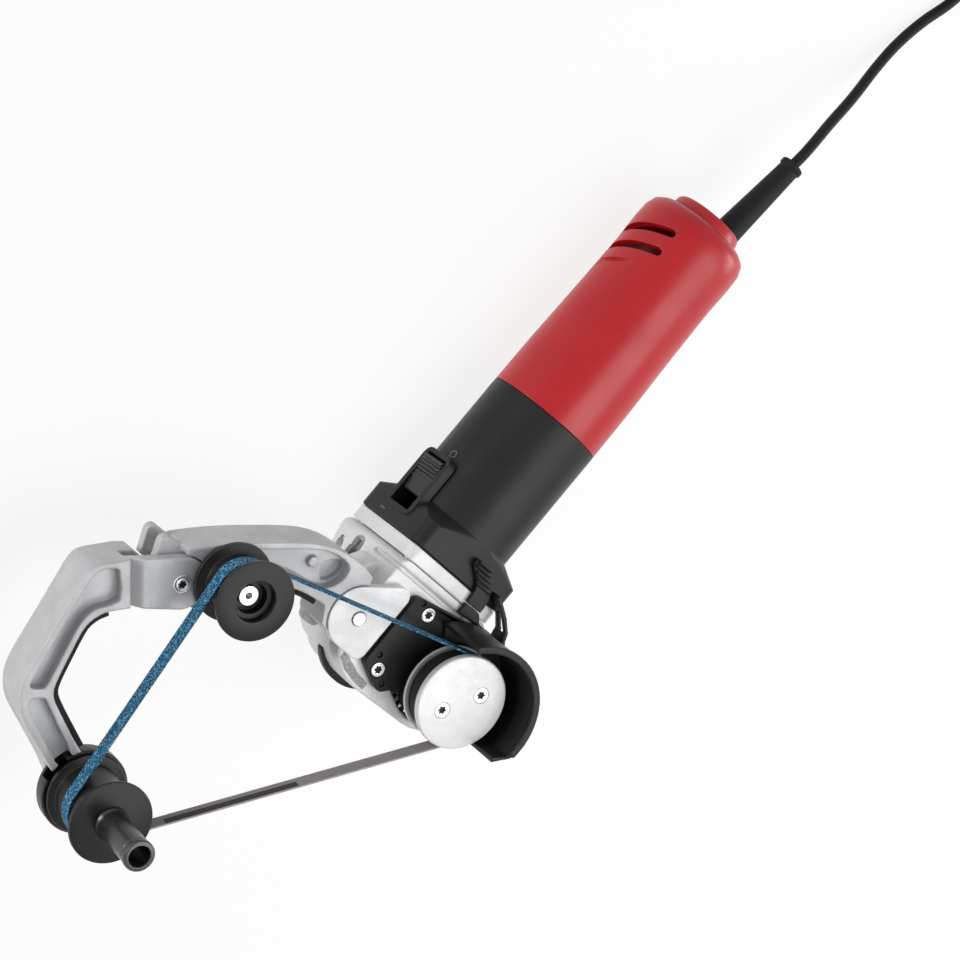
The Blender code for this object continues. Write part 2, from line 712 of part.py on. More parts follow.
def bearing_shield(shop):
    """Alloy flange between the motor and the gear head, with the front bearing in it."""
    outline = rounded(FLARE_HALF_Y - 0.7 * MM, FLARE_HALF_Z, FLARE_CORNER, 9)
    holes = [circle(FRONT_BEARING_RADIUS + GAP, 32)]
    holes += [circle(2.6 * MM, 12, place) for place in head_screw_places()]
    end = SHIELD_X + SHIELD_LENGTH
    shop.slab("bearing_shield", outline, SHIELD_X, end, "cast_alloy", holes, (0, 0, 0), ALONG_X)
    middle = SHIELD_X + SHIELD_LENGTH / 2
    half = min(BEARING_LENGTH, SHIELD_LENGTH) / 2
    shop.ring("front_bearing", FRONT_BEARING_RADIUS, SHAFT_RADIUS + RUN, middle - half, middle + half,
              "steel", (0, 0, 0), ALONG_X, 16)


def motor_inside(shop):
    """Stator, windings, armature, commutator, fan, brushes and rear bearing."""
    bore = ROTOR_RADIUS + ROTOR_AIR
    shop.ring("stator_core", STATOR_RADIUS, bore, ROTOR_X, ROTOR_END, "core_steel", (0, 0, 0), ALONG_X, 24)
    coil_inner = bore + 2 * MM
    coil_outer = STATOR_RADIUS - 2.5 * MM
    for name, low in (("winding_front", ROTOR_X - GAP - WINDING_LENGTH), ("winding_rear", ROTOR_END + GAP)):
        bend = WINDING_LENGTH / 3
        high = low + WINDING_LENGTH
        profile = [(coil_outer - bend, high), (coil_outer, high - bend), (coil_outer, low + bend),
                   (coil_outer - bend, low), (coil_inner + bend, low), (coil_inner, low + bend),
                   (coil_inner, high - bend), (coil_inner + bend, high)]
        shop.turned(name, profile, "copper", (0, 0, 0), ALONG_X, 14)
    slots = []
    pitch = 2 * pi / ROTOR_SLOTS
    for k in range(ROTOR_SLOTS):
        for radius, part in ((1, -0.38), (1, 0.0), (1, 0.38), (0.72, 0.42), (0.72, 0.58)):
            slots.append(polar(radius * ROTOR_RADIUS, (k + part) * pitch))
    core_bore = SHAFT_RADIUS + GAP
    shop.slab("rotor_core", slots, ROTOR_X, ROTOR_END, "core_steel", [circle(core_bore, 20)], (0, 0, 0),
              ALONG_X)
    commutator_end = COMMUTATOR_X + COMMUTATOR_LENGTH
    shop.ring("commutator", COMMUTATOR_RADIUS, core_bore, COMMUTATOR_X, commutator_end, "copper",
              (0, 0, 0), ALONG_X, 16)
    armature_shaft(shop)
    cooling_fan(shop)
    reach = BARREL_RADIUS - BARREL_WALL - 1.5 * MM
    middle = COMMUTATOR_X + COMMUTATOR_LENGTH / 2
    for name, side in (("brush_upper", 1), ("brush_lower", -1)):
        low, high = sorted((side * (COMMUTATOR_RADIUS + RUN), side * reach))
        half = BRUSH_WIDTH / 2
        shop.box(name, (middle - half, -half / 2, low), (middle + half, half / 2, high), "dark_steel")
    start = BULKHEAD_X + (BULKHEAD_LENGTH - BEARING_LENGTH) / 2
    shop.ring("rear_bearing", REAR_BEARING_RADIUS, SHAFT_RADIUS - 1 * MM + RUN, start,
              start + BEARING_LENGTH, "steel", (0, 0, 0), ALONG_X, 16)


def armature_shaft(shop):
    """Stepped motor shaft from the bevel pinion to the rear bearing."""
    nose = pinion_front() + GAP
    pinion_end = SHIELD_X - 4 * MM
    rear = BULKHEAD_X - 4 * MM
    end = BULKHEAD_X + BULKHEAD_LENGTH + 2 * MM
    profile = [(0, end), (SHAFT_RADIUS - 1 * MM, end), (SHAFT_RADIUS - 1 * MM, rear), (SHAFT_RADIUS, rear),
               (SHAFT_RADIUS, pinion_end), (PINION_SEAT_RADIUS, pinion_end),
               (PINION_SEAT_RADIUS, nose), (0, nose)]
    shop.turned("armature_shaft", profile, "steel", (0, 0, 0), ALONG_X, 14)


def cooling_fan(shop):
    """Paddle fan next to the front bearing."""
    low = HOUSING_X + 2.5 * MM
    hub = SHAFT_RADIUS + 5 * MM
    pitch = 2 * pi / FAN_BLADES
    outline = []
    for k in range(FAN_BLADES):
        for radius, part in ((hub, 0.0), (FAN_RADIUS, 0.1), (FAN_RADIUS, 0.17), (hub, 0.3), (hub, 0.65)):
            outline.append(polar(radius, (k + part) * pitch))
    shop.slab("cooling_fan", outline, low, low + FAN_LENGTH, "black_nylon",
              [circle(SHAFT_RADIUS + GAP, 16)],
              (0, 0, 0), ALONG_X)


def slide_switch(shop):
    """Ribbed slider with its push rod, and the switch block at the rod's end."""
    start = SLIDER_X
    end = SLIDER_X + SLIDER_LENGTH
    rod_low = STATOR_RADIUS + RUN
    rod_top = rod_low + ROD_HEIGHT
    foot = rod_low + ROD_HEIGHT / 2
    top = SWITCH_PAD_HEIGHT + 1.6 * MM
    side = [(foot, start), (top - 4.4 * MM, start), (top - 3.6 * MM, start + 1 * MM),
            (top - 3.2 * MM, start + 0.22 * SLIDER_LENGTH), (top - 2.4 * MM, start + 0.42 * SLIDER_LENGTH)]
    ribs = 5
    step = 0.44 * SLIDER_LENGTH / ribs
    for k in range(ribs):
        x = start + 0.44 * SLIDER_LENGTH + k * step
        climb = top - 2.4 * MM + 1.8 * MM * (k + 1) / ribs
        side += [(climb - 0.9 * MM, x + 0.2 * step), (climb, x + 0.45 * step), (climb, x + 0.75 * step),
                 (climb - 0.9 * MM, x + 0.95 * step)]
    side += [(top, end - 0.1 * SLIDER_LENGTH), (top - 0.6 * MM, end - 1 * MM), (top - 2.4 * MM, end),
             (foot, end)]
    outline = [(x, y) for y, x in side]
    slider = shop.slab("switch_slider", outline, -SLIDER_HALF_WIDTH, SLIDER_HALF_WIDTH, "grey_nylon")
    rod = shop.box("switch_rod", (start + 2 * MM, rod_low, -ROD_HALF_WIDTH),
                   (COMMUTATOR_X + COMMUTATOR_LENGTH, rod_top, ROD_HALF_WIDTH))
    shop.fuse(slider, rod)
    shop.hang(slider, (start, SLIDER_Y, 0))
    ceiling = rod_low - GAP
    shop.box("switch_block", (COMMUTATOR_X + 1 * MM, COMMUTATOR_RADIUS + 3 * MM, -9 * MM),
             (BULKHEAD_X - GAP, ceiling, 9 * MM), "black_nylon")


def pinion_front():
    """X of the bevel pinion's small end."""
    cone = atan2(BEVEL_PINION_TEETH, CROWN_TEETH)
    reach = BEVEL_PITCH_RADIUS / sin(cone)
    return COUNTER_X + (reach - BEVEL_FACE) * cos(cone) - 0.3 * BEVEL_MODULE


def gear_train(shop):
    """Bevel pinion and crown, then spur pinion and spur gear, on their shafts and bearings."""
    bore = PINION_SEAT_RADIUS + GAP
    back = SHIELD_X - 4 * MM - COUNTER_X - GAP
    rings = bevel_rings(BEVEL_PINION_TEETH, BEVEL_MODULE, CROWN_TEETH, BEVEL_FACE, pi / 2, bore, back)
    shop.loft("bevel_pinion", rings, "steel", COUNTER, ALONG_X)
    half_pitch = pi / CROWN_TEETH
    counter_bore = COUNTER_RADIUS + GAP
    crown = bevel_rings(CROWN_TEETH, BEVEL_MODULE, BEVEL_PINION_TEETH, BEVEL_FACE, half_pitch, counter_bore,
                        CROWN_BACK)
    shop.loft("crown_gear", crown, "steel", COUNTER, ALONG_Z)
    line = atan2(SPINDLE_Y, -COUNTER_X)
    low, high = SPUR_LOW, SPUR_LOW + SPUR_FACE
    pinion = shop.slab("countershaft", gear_outline(SPUR_PINION_TEETH, SPUR_MODULE, line), low, high,
                       "steel", (),
                       COUNTER)
    bottom = HEAD_STEP - 8 * MM
    shaft = shop.rod("countershaft_bar", COUNTER_RADIUS, bottom, PLATE_LOW - GAP, None, COUNTER, ALONG_Z, 14)
    shop.fuse(pinion, shaft)
    spindle_bore = SPINDLE_RADIUS + GAP
    mesh_turn = line + pi + pi / SPUR_GEAR_TEETH
    shop.slab("spur_gear", gear_outline(SPUR_GEAR_TEETH, SPUR_MODULE, mesh_turn), low, high, "steel",
              [circle(spindle_bore, 24)], SPINDLE)
    shop.rod("output_spindle", SPINDLE_RADIUS, HEAD_STEP + 3 * MM, DISC_BACK, "steel", SPINDLE, ALONG_Z, 16)
    shop.ring("spindle_bearing_lower", SPINDLE_BEARING_RADIUS, SPINDLE_RADIUS + RUN,
              HEAD_FLOOR - BEARING_LENGTH, HEAD_FLOOR - GAP, "steel", SPINDLE, ALONG_Z, 16)
    shop.ring("spindle_bearing_upper", SPINDLE_BEARING_RADIUS, SPINDLE_RADIUS + RUN,
              PLATE_HIGH - BEARING_LENGTH, PLATE_HIGH - GAP, "steel", SPINDLE, ALONG_Z, 16)
    shop.ring("counter_bearing", COUNTER_BEARING_RADIUS, COUNTER_RADIUS + RUN,
              bottom + 1 * MM, bottom + 1 * MM + BEARING_LENGTH, "steel", COUNTER, ALONG_Z, 14)


def gear_head(shop):
    """Cast gear case with a side lobe for the spindle and a lug for the arm pin."""
    corner = 6 * MM
    x = HEAD_REAR - corner
    y = FLARE_HALF_Y - 1 * MM - corner
    upper = wrap(((0, SPINDLE_Y, HEAD_LOBE_RADIUS), (-2 * MM, 8 * MM, 29 * MM), (x, y, corner),
                  (x, -y, corner)), 28)
    lower = wrap(((-2 * MM, 1 * MM, 25 * MM), (x, y, corner), (x, -y, corner)), 28)
    head = shop.slab("gear_head", upper, HEAD_STEP, HEAD_TOP, "cast_alloy")
    base = shop.slab("head_base", lower, FLOOR, HEAD_STEP + 6 * MM)
    lug = shop.slab("pin_lug", wrap(((PIN_X, PIN_Y, 10 * MM), (PIN_X, 0.4 * PIN_Y, 16 * MM)), 24),
                    HEAD_FLOOR - 1 * MM, TONGUE_LOW + 1 * MM)
    shop.fuse(head, base, lug)
    gear_tip = SPUR_MODULE * (SPUR_GEAR_TEETH / 2 + SPUR_ADDENDUM) + 1.2 * MM
    crown_tip = CROWN_PITCH_RADIUS + 1.4 * MM
    chamber = shop.slab("gear_chamber", wrap(((COUNTER_X, 0, crown_tip), (0, SPINDLE_Y, gear_tip)), 32),
                        HEAD_FLOOR, HEAD_TOP + 1 * MM)
    pinion_room = shop.rod("pinion_room", BEVEL_PITCH_RADIUS + 4 * MM, COUNTER_X, HEAD_REAR + 1 * MM, None,
                           (0, 0, 0), ALONG_X, 16)
    counter_seat = shop.rod("counter_seat", COUNTER_BEARING_RADIUS + GAP, HEAD_STEP - 7 * MM - GAP,
                            HEAD_FLOOR + 1 * MM, None, COUNTER, ALONG_Z, 16)
    counter_end = shop.rod("counter_end", COUNTER_RADIUS + GAP + RUN, HEAD_STEP - 9 * MM, 0, None, COUNTER,
                           ALONG_Z, 14)
    spindle_seat = shop.rod("spindle_seat", SPINDLE_BEARING_RADIUS + GAP, HEAD_FLOOR - BEARING_LENGTH - GAP,
                            HEAD_FLOOR + 1 * MM, None, SPINDLE, ALONG_Z, 18)
    spindle_end = shop.rod("spindle_end", SPINDLE_RADIUS + GAP + RUN, HEAD_STEP + 2 * MM, HEAD_FLOOR, None,
                           SPINDLE, ALONG_Z, 16)
    arm_pocket = shop.slab("arm_pocket", wrap(((PIN_X, PIN_Y, SPRING_POCKET_RADIUS),
                                               (PIN_X, 2 * PIN_Y, SPRING_POCKET_RADIUS)), 40),
                           TONGUE_LOW - GAP, HEAD_TOP + 1 * MM)
    pin_hole = shop.rod("pin_hole", PIN_RADIUS + GAP, HEAD_FLOOR + 3 * MM, HEAD_TOP, None, PIN, ALONG_Z, 14)
    shop.cut(head, chamber, pinion_room, counter_seat, counter_end, spindle_seat, spindle_end, arm_pocket,
             pin_hole)
    y_wide = FLARE_HALF_Y - 4 * MM
    top_groove = shop.box("top_groove", (HEAD_REAR - GROOVE_BACK, -0.6 * y_wide, HEAD_TOP - GROOVE_DEPTH),
                          (HEAD_REAR - GROOVE_BACK + GROOVE_WIDTH, FLARE_HALF_Y, HEAD_TOP + 1 * MM))
    side_groove = shop.box("side_groove", (HEAD_REAR - GROOVE_BACK, y_wide, HEAD_STEP + 14 * MM),
                           (HEAD_REAR - GROOVE_BACK + GROOVE_WIDTH, FLARE_HALF_Y + 1 * MM, HEAD_TOP + 1 * MM))
    shop.cut(head, top_groove, side_groove)
    head_face = HEAD_REAR - 9 * MM
    for k, (py, pz) in enumerate(head_screw_places()):
        at = (0, py, pz)
        well = shop.rod(f"screw_well_{k}", HEAD_SCREW_RADIUS + 0.9 * MM, -60 * MM, head_face, None, at,
                        ALONG_X, 14)
        hole = shop.rod(f"screw_hole_{k}", 2.6 * MM, 0, HEAD_REAR + 1 * MM, None, at, ALONG_X, 12)
        shop.cut(head, well, hole)
        backward = Matrix.Rotation(pi, 4, "Z") @ ALONG_X
        length = HOUSING_X + 12 * MM - head_face + 4 * MM
        face = (head_face - 4 * MM - GAP, py, pz)
        screw(shop, f"head_screw_{k + 1}", face, HEAD_SCREW_RADIUS, 4 * MM, 2.2 * MM, length, "steel",
              backward)
    for k, (px, py) in enumerate(plate_screw_places()):
        hole = shop.rod(f"plate_thread_{k}", 2.4 * MM, HEAD_TOP - 13 * MM, HEAD_TOP + 1 * MM, None,
                        (px, py, 0), ALONG_Z, 12)
        shop.cut(head, hole)


def plate_screw_places():
    """(x, y) of the bearing plate's screws, round the gear chamber."""
    ring = CROWN_PITCH_RADIUS + 5.2 * MM
    right = polar(ring, radians(12), (COUNTER_X, 0))
    left = polar(ring, radians(160), (COUNTER_X, 0))
    gear_tip = SPUR_MODULE * (SPUR_GEAR_TEETH / 2 + SPUR_ADDENDUM)
    foot = polar(gear_tip + 7.6 * MM, radians(16), (0, SPINDLE_Y))
    return (right, left, foot)


def bearing_plate(shop):
    """Black plate that closes the gear case and carries the upper spindle bearing."""
    right, left, foot = plate_screw_places()
    edge = 5.2 * MM
    top = PIN_Y - NOSE_RADIUS - GAP - 2 * MM - edge
    boss = 0.79 * HEAD_LOBE_RADIUS
    outline = arc((right[0], top), edge, pi / 2, 0, 5) + arc(foot, edge, 0.3, -1.4, 6)
    outline += arc(SPINDLE, boss, radians(-30), radians(-215), 18) + [(-13.5 * MM, -14 * MM)]
    outline += arc((left[0] - 4 * MM, left[1] - 8 * MM), edge, radians(225), radians(150), 5)
    outline += arc((left[0] + 2 * MM, top), edge, radians(150), radians(90), 4)
    plate = shop.slab("bearing_plate", outline[::-1], PLATE_LOW, PLATE_HIGH, "black_coat")
    collar_low = SPUR_LOW + SPUR_FACE + 1.5 * MM
    collar = shop.rod("plate_collar", SPINDLE_BEARING_RADIUS + 3.5 * MM, collar_low, PLATE_HIGH - 1 * MM,
                      None, SPINDLE, ALONG_Z, 14)
    seat = shop.rod("plate_seat", SPINDLE_BEARING_RADIUS + GAP, PLATE_HIGH - BEARING_LENGTH - GAP,
                    PLATE_HIGH + 1 * MM, None, SPINDLE, ALONG_Z, 18)
    eye = shop.rod("plate_eye", SPINDLE_RADIUS + GAP + RUN, collar_low - 1 * MM, PLATE_HIGH, None, SPINDLE,
                   ALONG_Z, 16)
    shop.fuse(plate, collar)
    shop.cut(plate, seat, eye)
    sink = PLATE_HIGH - 3.4 * MM
    for k, place in enumerate((right, left, foot)):
        at = (*place, 0)
        well = shop.rod(f"plate_well_{k}", PLATE_SCREW_RADIUS + GAP, sink, PLATE_HIGH + 1 * MM, None, at,
                        ALONG_Z, 16)
        hole = shop.rod(f"plate_hole_{k}", 2.4 * MM, PLATE_LOW - 1 * MM, PLATE_HIGH, None, at, ALONG_Z, 12)
        shop.cut(plate, well, hole)
        height = 3 * MM
        screw(shop, f"plate_screw_{k + 1}", (*place, sink + GAP + height), PLATE_SCREW_RADIUS, height,
              2.1 * MM,
              height + 14 * MM)


def drive_pulley(shop):
    """Rear flange, rubber drum and front disc on the spindle, with two countersunk screws."""
    bore = SPINDLE_RADIUS + GAP
    low = GUARD_BACK + GAP
    profile = [(DRIVE_FLANGE_RADIUS, FLANGE_TOP), (DRIVE_FLANGE_RADIUS, FLANGE_TOP - 1.8 * MM),
               (DRIVE_HUB_RADIUS - 3 * MM, FLANGE_TOP - 1.8 * MM), (DRIVE_HUB_RADIUS - 3 * MM, low),
               (bore, low), (bore, FLANGE_TOP)]
    shop.turned("drive_flange", profile, "bare_alloy", SPINDLE, ALONG_Z, 36)
    hub_low = FLANGE_TOP + GAP
    shop.ring("drive_drum", DRIVE_RADIUS, DRIVE_HUB_RADIUS + GAP, hub_low, DISC_BACK - GAP, "rubber", SPINDLE,
              ALONG_Z, 32)
    bevel = 0.9 * MM
    face = [(0, DRIVE_FRONT), (DRIVE_DISC_RADIUS - bevel, DRIVE_FRONT),
            (DRIVE_DISC_RADIUS, DRIVE_FRONT - bevel),
            (DRIVE_DISC_RADIUS, DISC_BACK), (DRIVE_HUB_RADIUS, DISC_BACK), (DRIVE_HUB_RADIUS, hub_low),
            (bore, hub_low), (bore, DISC_BACK + GAP), (0, DISC_BACK + GAP)]
    disc = shop.turned("drive_disc", face, "bare_alloy", SPINDLE, ALONG_Z, 48)
    head, sunk = 4.4 * MM, 2.4 * MM
    for k, turn in enumerate((radians(144), radians(-36))):
        x, y = polar(DISC_SCREW_CIRCLE, turn, SPINDLE)
        seat = shop.turned(f"disc_sink_{k}", [(0, DRIVE_FRONT + 1 * MM), (head + GAP, DRIVE_FRONT + 1 * MM),
                                              (head + GAP, DRIVE_FRONT - GAP),
                                              (2.2 * MM, DRIVE_FRONT - GAP - sunk),
                                              (2.2 * MM, hub_low - 1 * MM), (0, hub_low - 1 * MM)],
                           None, (x, y, 0), ALONG_Z, 14)
        shop.cut(disc, seat)
        screw(shop, f"disc_screw_{k + 1}", (x, y, DRIVE_FRONT - GAP), head, sunk, 1.8 * MM,
              DRIVE_FRONT - hub_low - GAP, "steel", ALONG_Z, True)


def idler_wheel(shop):
    """Black flanged idler with a recessed front, on a shoulder axle in the arch arm."""
    bore = IDLER_AXLE_RADIUS + RUN
    floor = IDLER_FRONT - IDLER_RECESS_DEPTH - 2 * MM
    rim = IDLER_FLANGE_RADIUS
    profile = [(rim - 0.6 * MM, IDLER_FRONT), (rim, IDLER_FRONT - 0.7 * MM), (rim, IDLER_FRONT - 2.4 * MM),
               (IDLER_RADIUS, BELT_HIGH + 1.5 * MM), (IDLER_RADIUS, BELT_LOW - 1.5 * MM),
               (rim, IDLER_BACK + 2.2 * MM), (rim, IDLER_BACK), (bore, IDLER_BACK), (bore, floor),
               (IDLER_RECESS_RADIUS - 1 * MM, floor), (IDLER_RECESS_RADIUS, IDLER_FRONT)]
    shop.turned("idler_wheel", profile, "black_coat", IDLER, ALONG_Z, 40)
    head = IDLER_AXLE_RADIUS + 1.4 * MM
    face = floor + GAP + 2 * MM
    axle = [(0, face), (IDLER_AXLE_RADIUS, face), (head, face - 0.8 * MM), (head, floor + GAP),
            (IDLER_AXLE_RADIUS, floor + GAP), (IDLER_AXLE_RADIUS, ARM_BACK + 4 * MM),
            (0, ARM_BACK + 4 * MM)]
    shop.turned("idler_axle", axle, "steel", IDLER, ALONG_Z, 14)


def end_roller(shop):
    """Flanged roller, its cup and axle on the C-arm, and the knob in front."""
    bore = ROLLER_AXLE_RADIUS + RUN
    rim = ROLLER_FLANGE_RADIUS
    profile = [(rim - 0.8 * MM, ROLLER_FRONT), (rim, ROLLER_FRONT - 0.9 * MM), (rim, ROLLER_FRONT - 2.6 * MM),
               (ROLLER_RADIUS, BELT_HIGH + 2.5 * MM), (ROLLER_RADIUS, BELT_LOW - 2.5 * MM),
               (rim - 0.8 * MM, ROLLER_BACK + 2.4 * MM), (rim - 0.8 * MM, ROLLER_BACK), (bore, ROLLER_BACK),
               (bore, ROLLER_FRONT)]
    shop.turned("end_roller", profile, "black_coat", ROLLER, ALONG_Z, 40)
    hole = ROLLER_AXLE_RADIUS + GAP
    top = CUP_BASE + CUP_HEIGHT
    cup = [(CUP_RADIUS, top), (CUP_RADIUS, CUP_BASE + 2 * MM), (CUP_RADIUS - 2 * MM, CUP_BASE),
           (hole, CUP_BASE), (hole, CUP_BASE + 3 * MM),
           (CUP_RADIUS - 2.2 * MM, CUP_BASE + 3 * MM), (CUP_RADIUS - 2.2 * MM, top)]
    shop.turned("roller_cup", cup, "black_coat", ROLLER, ALONG_Z, 32)
    seat = ROLLER_FRONT + GAP
    shop.rod("roller_axle", ROLLER_AXLE_RADIUS, ARM_BACK + 1 * MM, seat + 0.4 * KNOB_LENGTH, "steel",
             ROLLER, ALONG_Z, 14)
    end = seat + KNOB_LENGTH
    mouth = hole + 0.5 * MM
    knob = [(KNOB_RADIUS - 0.8 * MM, end), (KNOB_RADIUS, end - 1.2 * MM),
            (0.94 * KNOB_RADIUS, seat + 4 * MM),
            (KNOB_RADIUS + 0.8 * MM, seat + 1.5 * MM), (KNOB_RADIUS + 0.8 * MM, seat), (hole, seat),
            (hole, seat + 0.5 * KNOB_LENGTH), (mouth, seat + 0.5 * KNOB_LENGTH), (mouth, end)]
    shop.turned("roller_knob", knob, "black_coat", ROLLER, ALONG_Z, 24)


def sanding_belt(shop):
    """Endless belt round the three drums."""
    inner = belt_loop(GAP)
    outer = belt_loop(GAP + BELT_THICK)
    shop.slab("sanding_belt", outer, BELT_LOW, BELT_HIGH, "blue_grit", [inner])


def arm_root(shop):
    """Root plate with a round nose over the arm pin, the pin and a wave spring."""
    low = PIN_Y - NOSE_RADIUS
    outline = wrap(((PIN_X, PIN_Y, NOSE_RADIUS), (22 * MM, low + 6 * MM, 6 * MM),
                    (-13 * MM, low + 6 * MM, 6 * MM),
                    (22 * MM, low + 4 * MM, 4 * MM)), 40)
    shop.slab("arm_root", outline, PLATE_LOW, PLATE_HIGH, "cast_alloy", [circle(PIN_RADIUS + GAP, 20, PIN)])
    shop.rod("arm_pin", PIN_RADIUS, HEAD_FLOOR + 3 * MM + GAP, PLATE_HIGH + 0.8 * MM, "steel", PIN,
             ALONG_Z, 14)
    near = EYE_RADIUS + GAP
    far = SPRING_POCKET_RADIUS - GAP - SPRING_THICK
    waves = 24
    line = []
    for k in range(waves + 1):
        swing = (1 - cos(2 * pi * 3 * k / waves)) / 2
        line.append(polar(near + (far - near) * swing, radians(-175 + 170 * k / waves), PIN))
    strip = [polar(hypot(x - PIN_X, y - PIN_Y) + SPRING_THICK, atan2(y - PIN_Y, x - PIN_X), PIN)
             for x, y in line]
    shop.slab("tension_spring", line + strip[::-1], TONGUE_LOW + 1 * MM, TONGUE_HIGH - 1 * MM, "dark_steel")


def ear_levels():
    """Low and high level of the two hinge ears, one behind the front cheek and one at the back."""
    return ((TONGUE_HIGH - EAR_THICK, TONGUE_HIGH), (ARM_BACK, ARM_BACK + EAR_THICK))


def arch_edges():
    """Outer and inner edge points of the arch arm, in millimetres, from the root to the hinge."""
    outer = [(21.2, 48.5), (22.4, 55), (22.6, 64), (21, 76), (16.5, 88), (9.5, 99.5), (2.2, 110),
             (-5.5, 120.8), (-13.2, 130.8), (-21, 140), (-28.5, 148)]
    inner = [(-51, 121.5), (-44, 109.5), (-34, 102), (-22.5, 99), (-14.5, 91.5), (-9.6, 81.5), (-7.4, 71.5),
             (-6.4, 61)]
    return outer, inner


def arch_arm(shop):
    """Cast arch from the root pin to the C-arm hinge, recessed in front, with the idler's seat."""
    outer, inner = arch_edges()
    outline = smooth(outer, 2, False) + smooth(inner, 2, False)
    outline += [(-15 * ARM_GRID, 55 * ARM_GRID), (-17 * ARM_GRID, 47 * ARM_GRID), (PIN_X, PIN_Y)]
    arm = shop.slab("arch_arm", outline, ARM_BACK, ARM_FRONT, "cast_alloy")
    clear = NOSE_RADIUS + 0.8 * MM
    root_bay = shop.rod("root_bay", clear, ARM_BACK - 1 * MM, ARM_FRONT + 1 * MM, None, PIN, ALONG_Z, 48)
    hinge_bay = shop.rod("hinge_bay", KNUCKLE_RADIUS + 0.8 * MM, ARM_BACK - 1 * MM, ARM_FRONT + 1 * MM,
                         None, HINGE, ALONG_Z, 40)
    shop.cut(arm, root_bay, hinge_bay)
    knee = (4 * ARM_GRID, 66 * ARM_GRID, 9 * ARM_GRID)
    root_tongue = shop.slab("root_tongue", wrap(((PIN_X, PIN_Y, EYE_RADIUS), knee), 28),
                            TONGUE_LOW, TONGUE_HIGH)
    shop.fuse(arm, root_tongue)
    eye = (HINGE_X, HINGE_Y, 0.8 * KNUCKLE_RADIUS)
    hump = (-36.2 * ARM_GRID, 149.2 * ARM_GRID, 6.8 * ARM_GRID)
    root = (-29 * ARM_GRID, 123 * ARM_GRID, 10 * ARM_GRID)
    heel = (-27 * ARM_GRID, 134 * ARM_GRID, 6 * ARM_GRID)
    for k, (low, high) in enumerate(ear_levels()):
        ear = shop.slab(f"hinge_ear_{k}", wrap((eye, root, heel), 28), low, high)
        top = shop.slab(f"hinge_hump_{k}", wrap((eye, hump), 24), low + 0.1 * MM, high - 0.1 * MM)
        shop.fuse(arm, ear, top)
    tail = [(-19.6, 50), (-14.4, 53.6), (-9.4, 54.5), (-7.9, 48.4), (-13.5, 41.8), (-18.8, 42.2)]
    lug = shop.slab("tail_lug", smooth(tail, 3), ARM_BACK - 1 * MM, TONGUE_LOW - 0.8 * MM)
    shop.fuse(arm, lug)
    tray = [(16.5, 63), (18.6, 69), (17.4, 78), (13, 87.5), (6, 98), (-1.2, 108), (-8, 117), (-13, 113),
            (-11, 104), (-6.5, 95.5), (-3.4, 85.5), (-2, 75), (1, 67), (9, 62.2)]
    recess = shop.slab("arch_recess", smooth(tray, 2), RECESS_FLOOR, ARM_FRONT + 1 * MM)
    well = [(15.6, 63.8), (16.8, 67.5), (10.5, 74), (2.6, 68.6), (8.8, 63.4)]
    deep = shop.slab("arch_well", smooth(well, 2), RECESS_FLOOR - 4 * MM, RECESS_FLOOR + 1 * MM)
    eye = shop.rod("arch_eye", PIN_RADIUS + RUN, TONGUE_LOW - 1 * MM, TONGUE_HIGH + 1 * MM, None, PIN,
                   ALONG_Z, 14)
    seat = shop.rod("idler_seat", IDLER_AXLE_RADIUS + GAP, ARM_BACK + 4 * MM - GAP, ARM_FRONT + 1 * MM,
                    None, IDLER, ALONG_Z, 14)
    bore = shop.rod("hinge_bore", HINGE_RADIUS + RUN, ARM_BACK - 1 * MM, TONGUE_HIGH + 1 * MM, None,
                    HINGE, ALONG_Z, 14)
    shop.cut(arm, recess, deep, eye, seat, bore)
    boss = shop.rod("recess_boss", 3.0 * MM, RECESS_FLOOR - 1 * MM, RECESS_FLOOR + 3 * MM, None,
                    (7.4 * ARM_GRID, 81.1 * ARM_GRID, 0), ALONG_Z, 16)
    shop.fuse(arm, boss)
    shop.hang(arm, PIN)
    edge = smooth(inner, 2, False)[8:14][::-1]
    shop.slab("arch_felt", band(edge, GAP, FELT_THICK), ARM_BACK + 2 * MM, ARM_FRONT - 2 * MM, "felt")


def c_edges():
    """Outer and inner edge points of the C-arm, in millimetres, from the hinge to the roller."""
    outer = [(-50.4, 169.4), (-56.5, 175.6), (-62, 181), (-67.3, ARM_TOP / ARM_GRID), (-76.2, 182.4),
             (-95.7, 178.6), (-114.8, 175.2), (-124.6, 173.3), (-131.6, 171.2), (-137.3, 168),
             (-141.8, 163.9), (-146.6, 157.3), (-153.6, 140), (-160.6, 122.6), (-168, 108)]
    inner = [(-146.5, 104), (-142.6, 120.3), (-136, 136.7), (-130.7, 148.9), (-127.7, 153.2),
             (-124.5, 155.4), (-118.2, 157.7), (-107.2, 160.7), (-94.3, 164), (-87.9, 164.2),
             (-82.1, 162.3), (-77.5, 159.3), (-69.8, 151)]
    return outer, inner


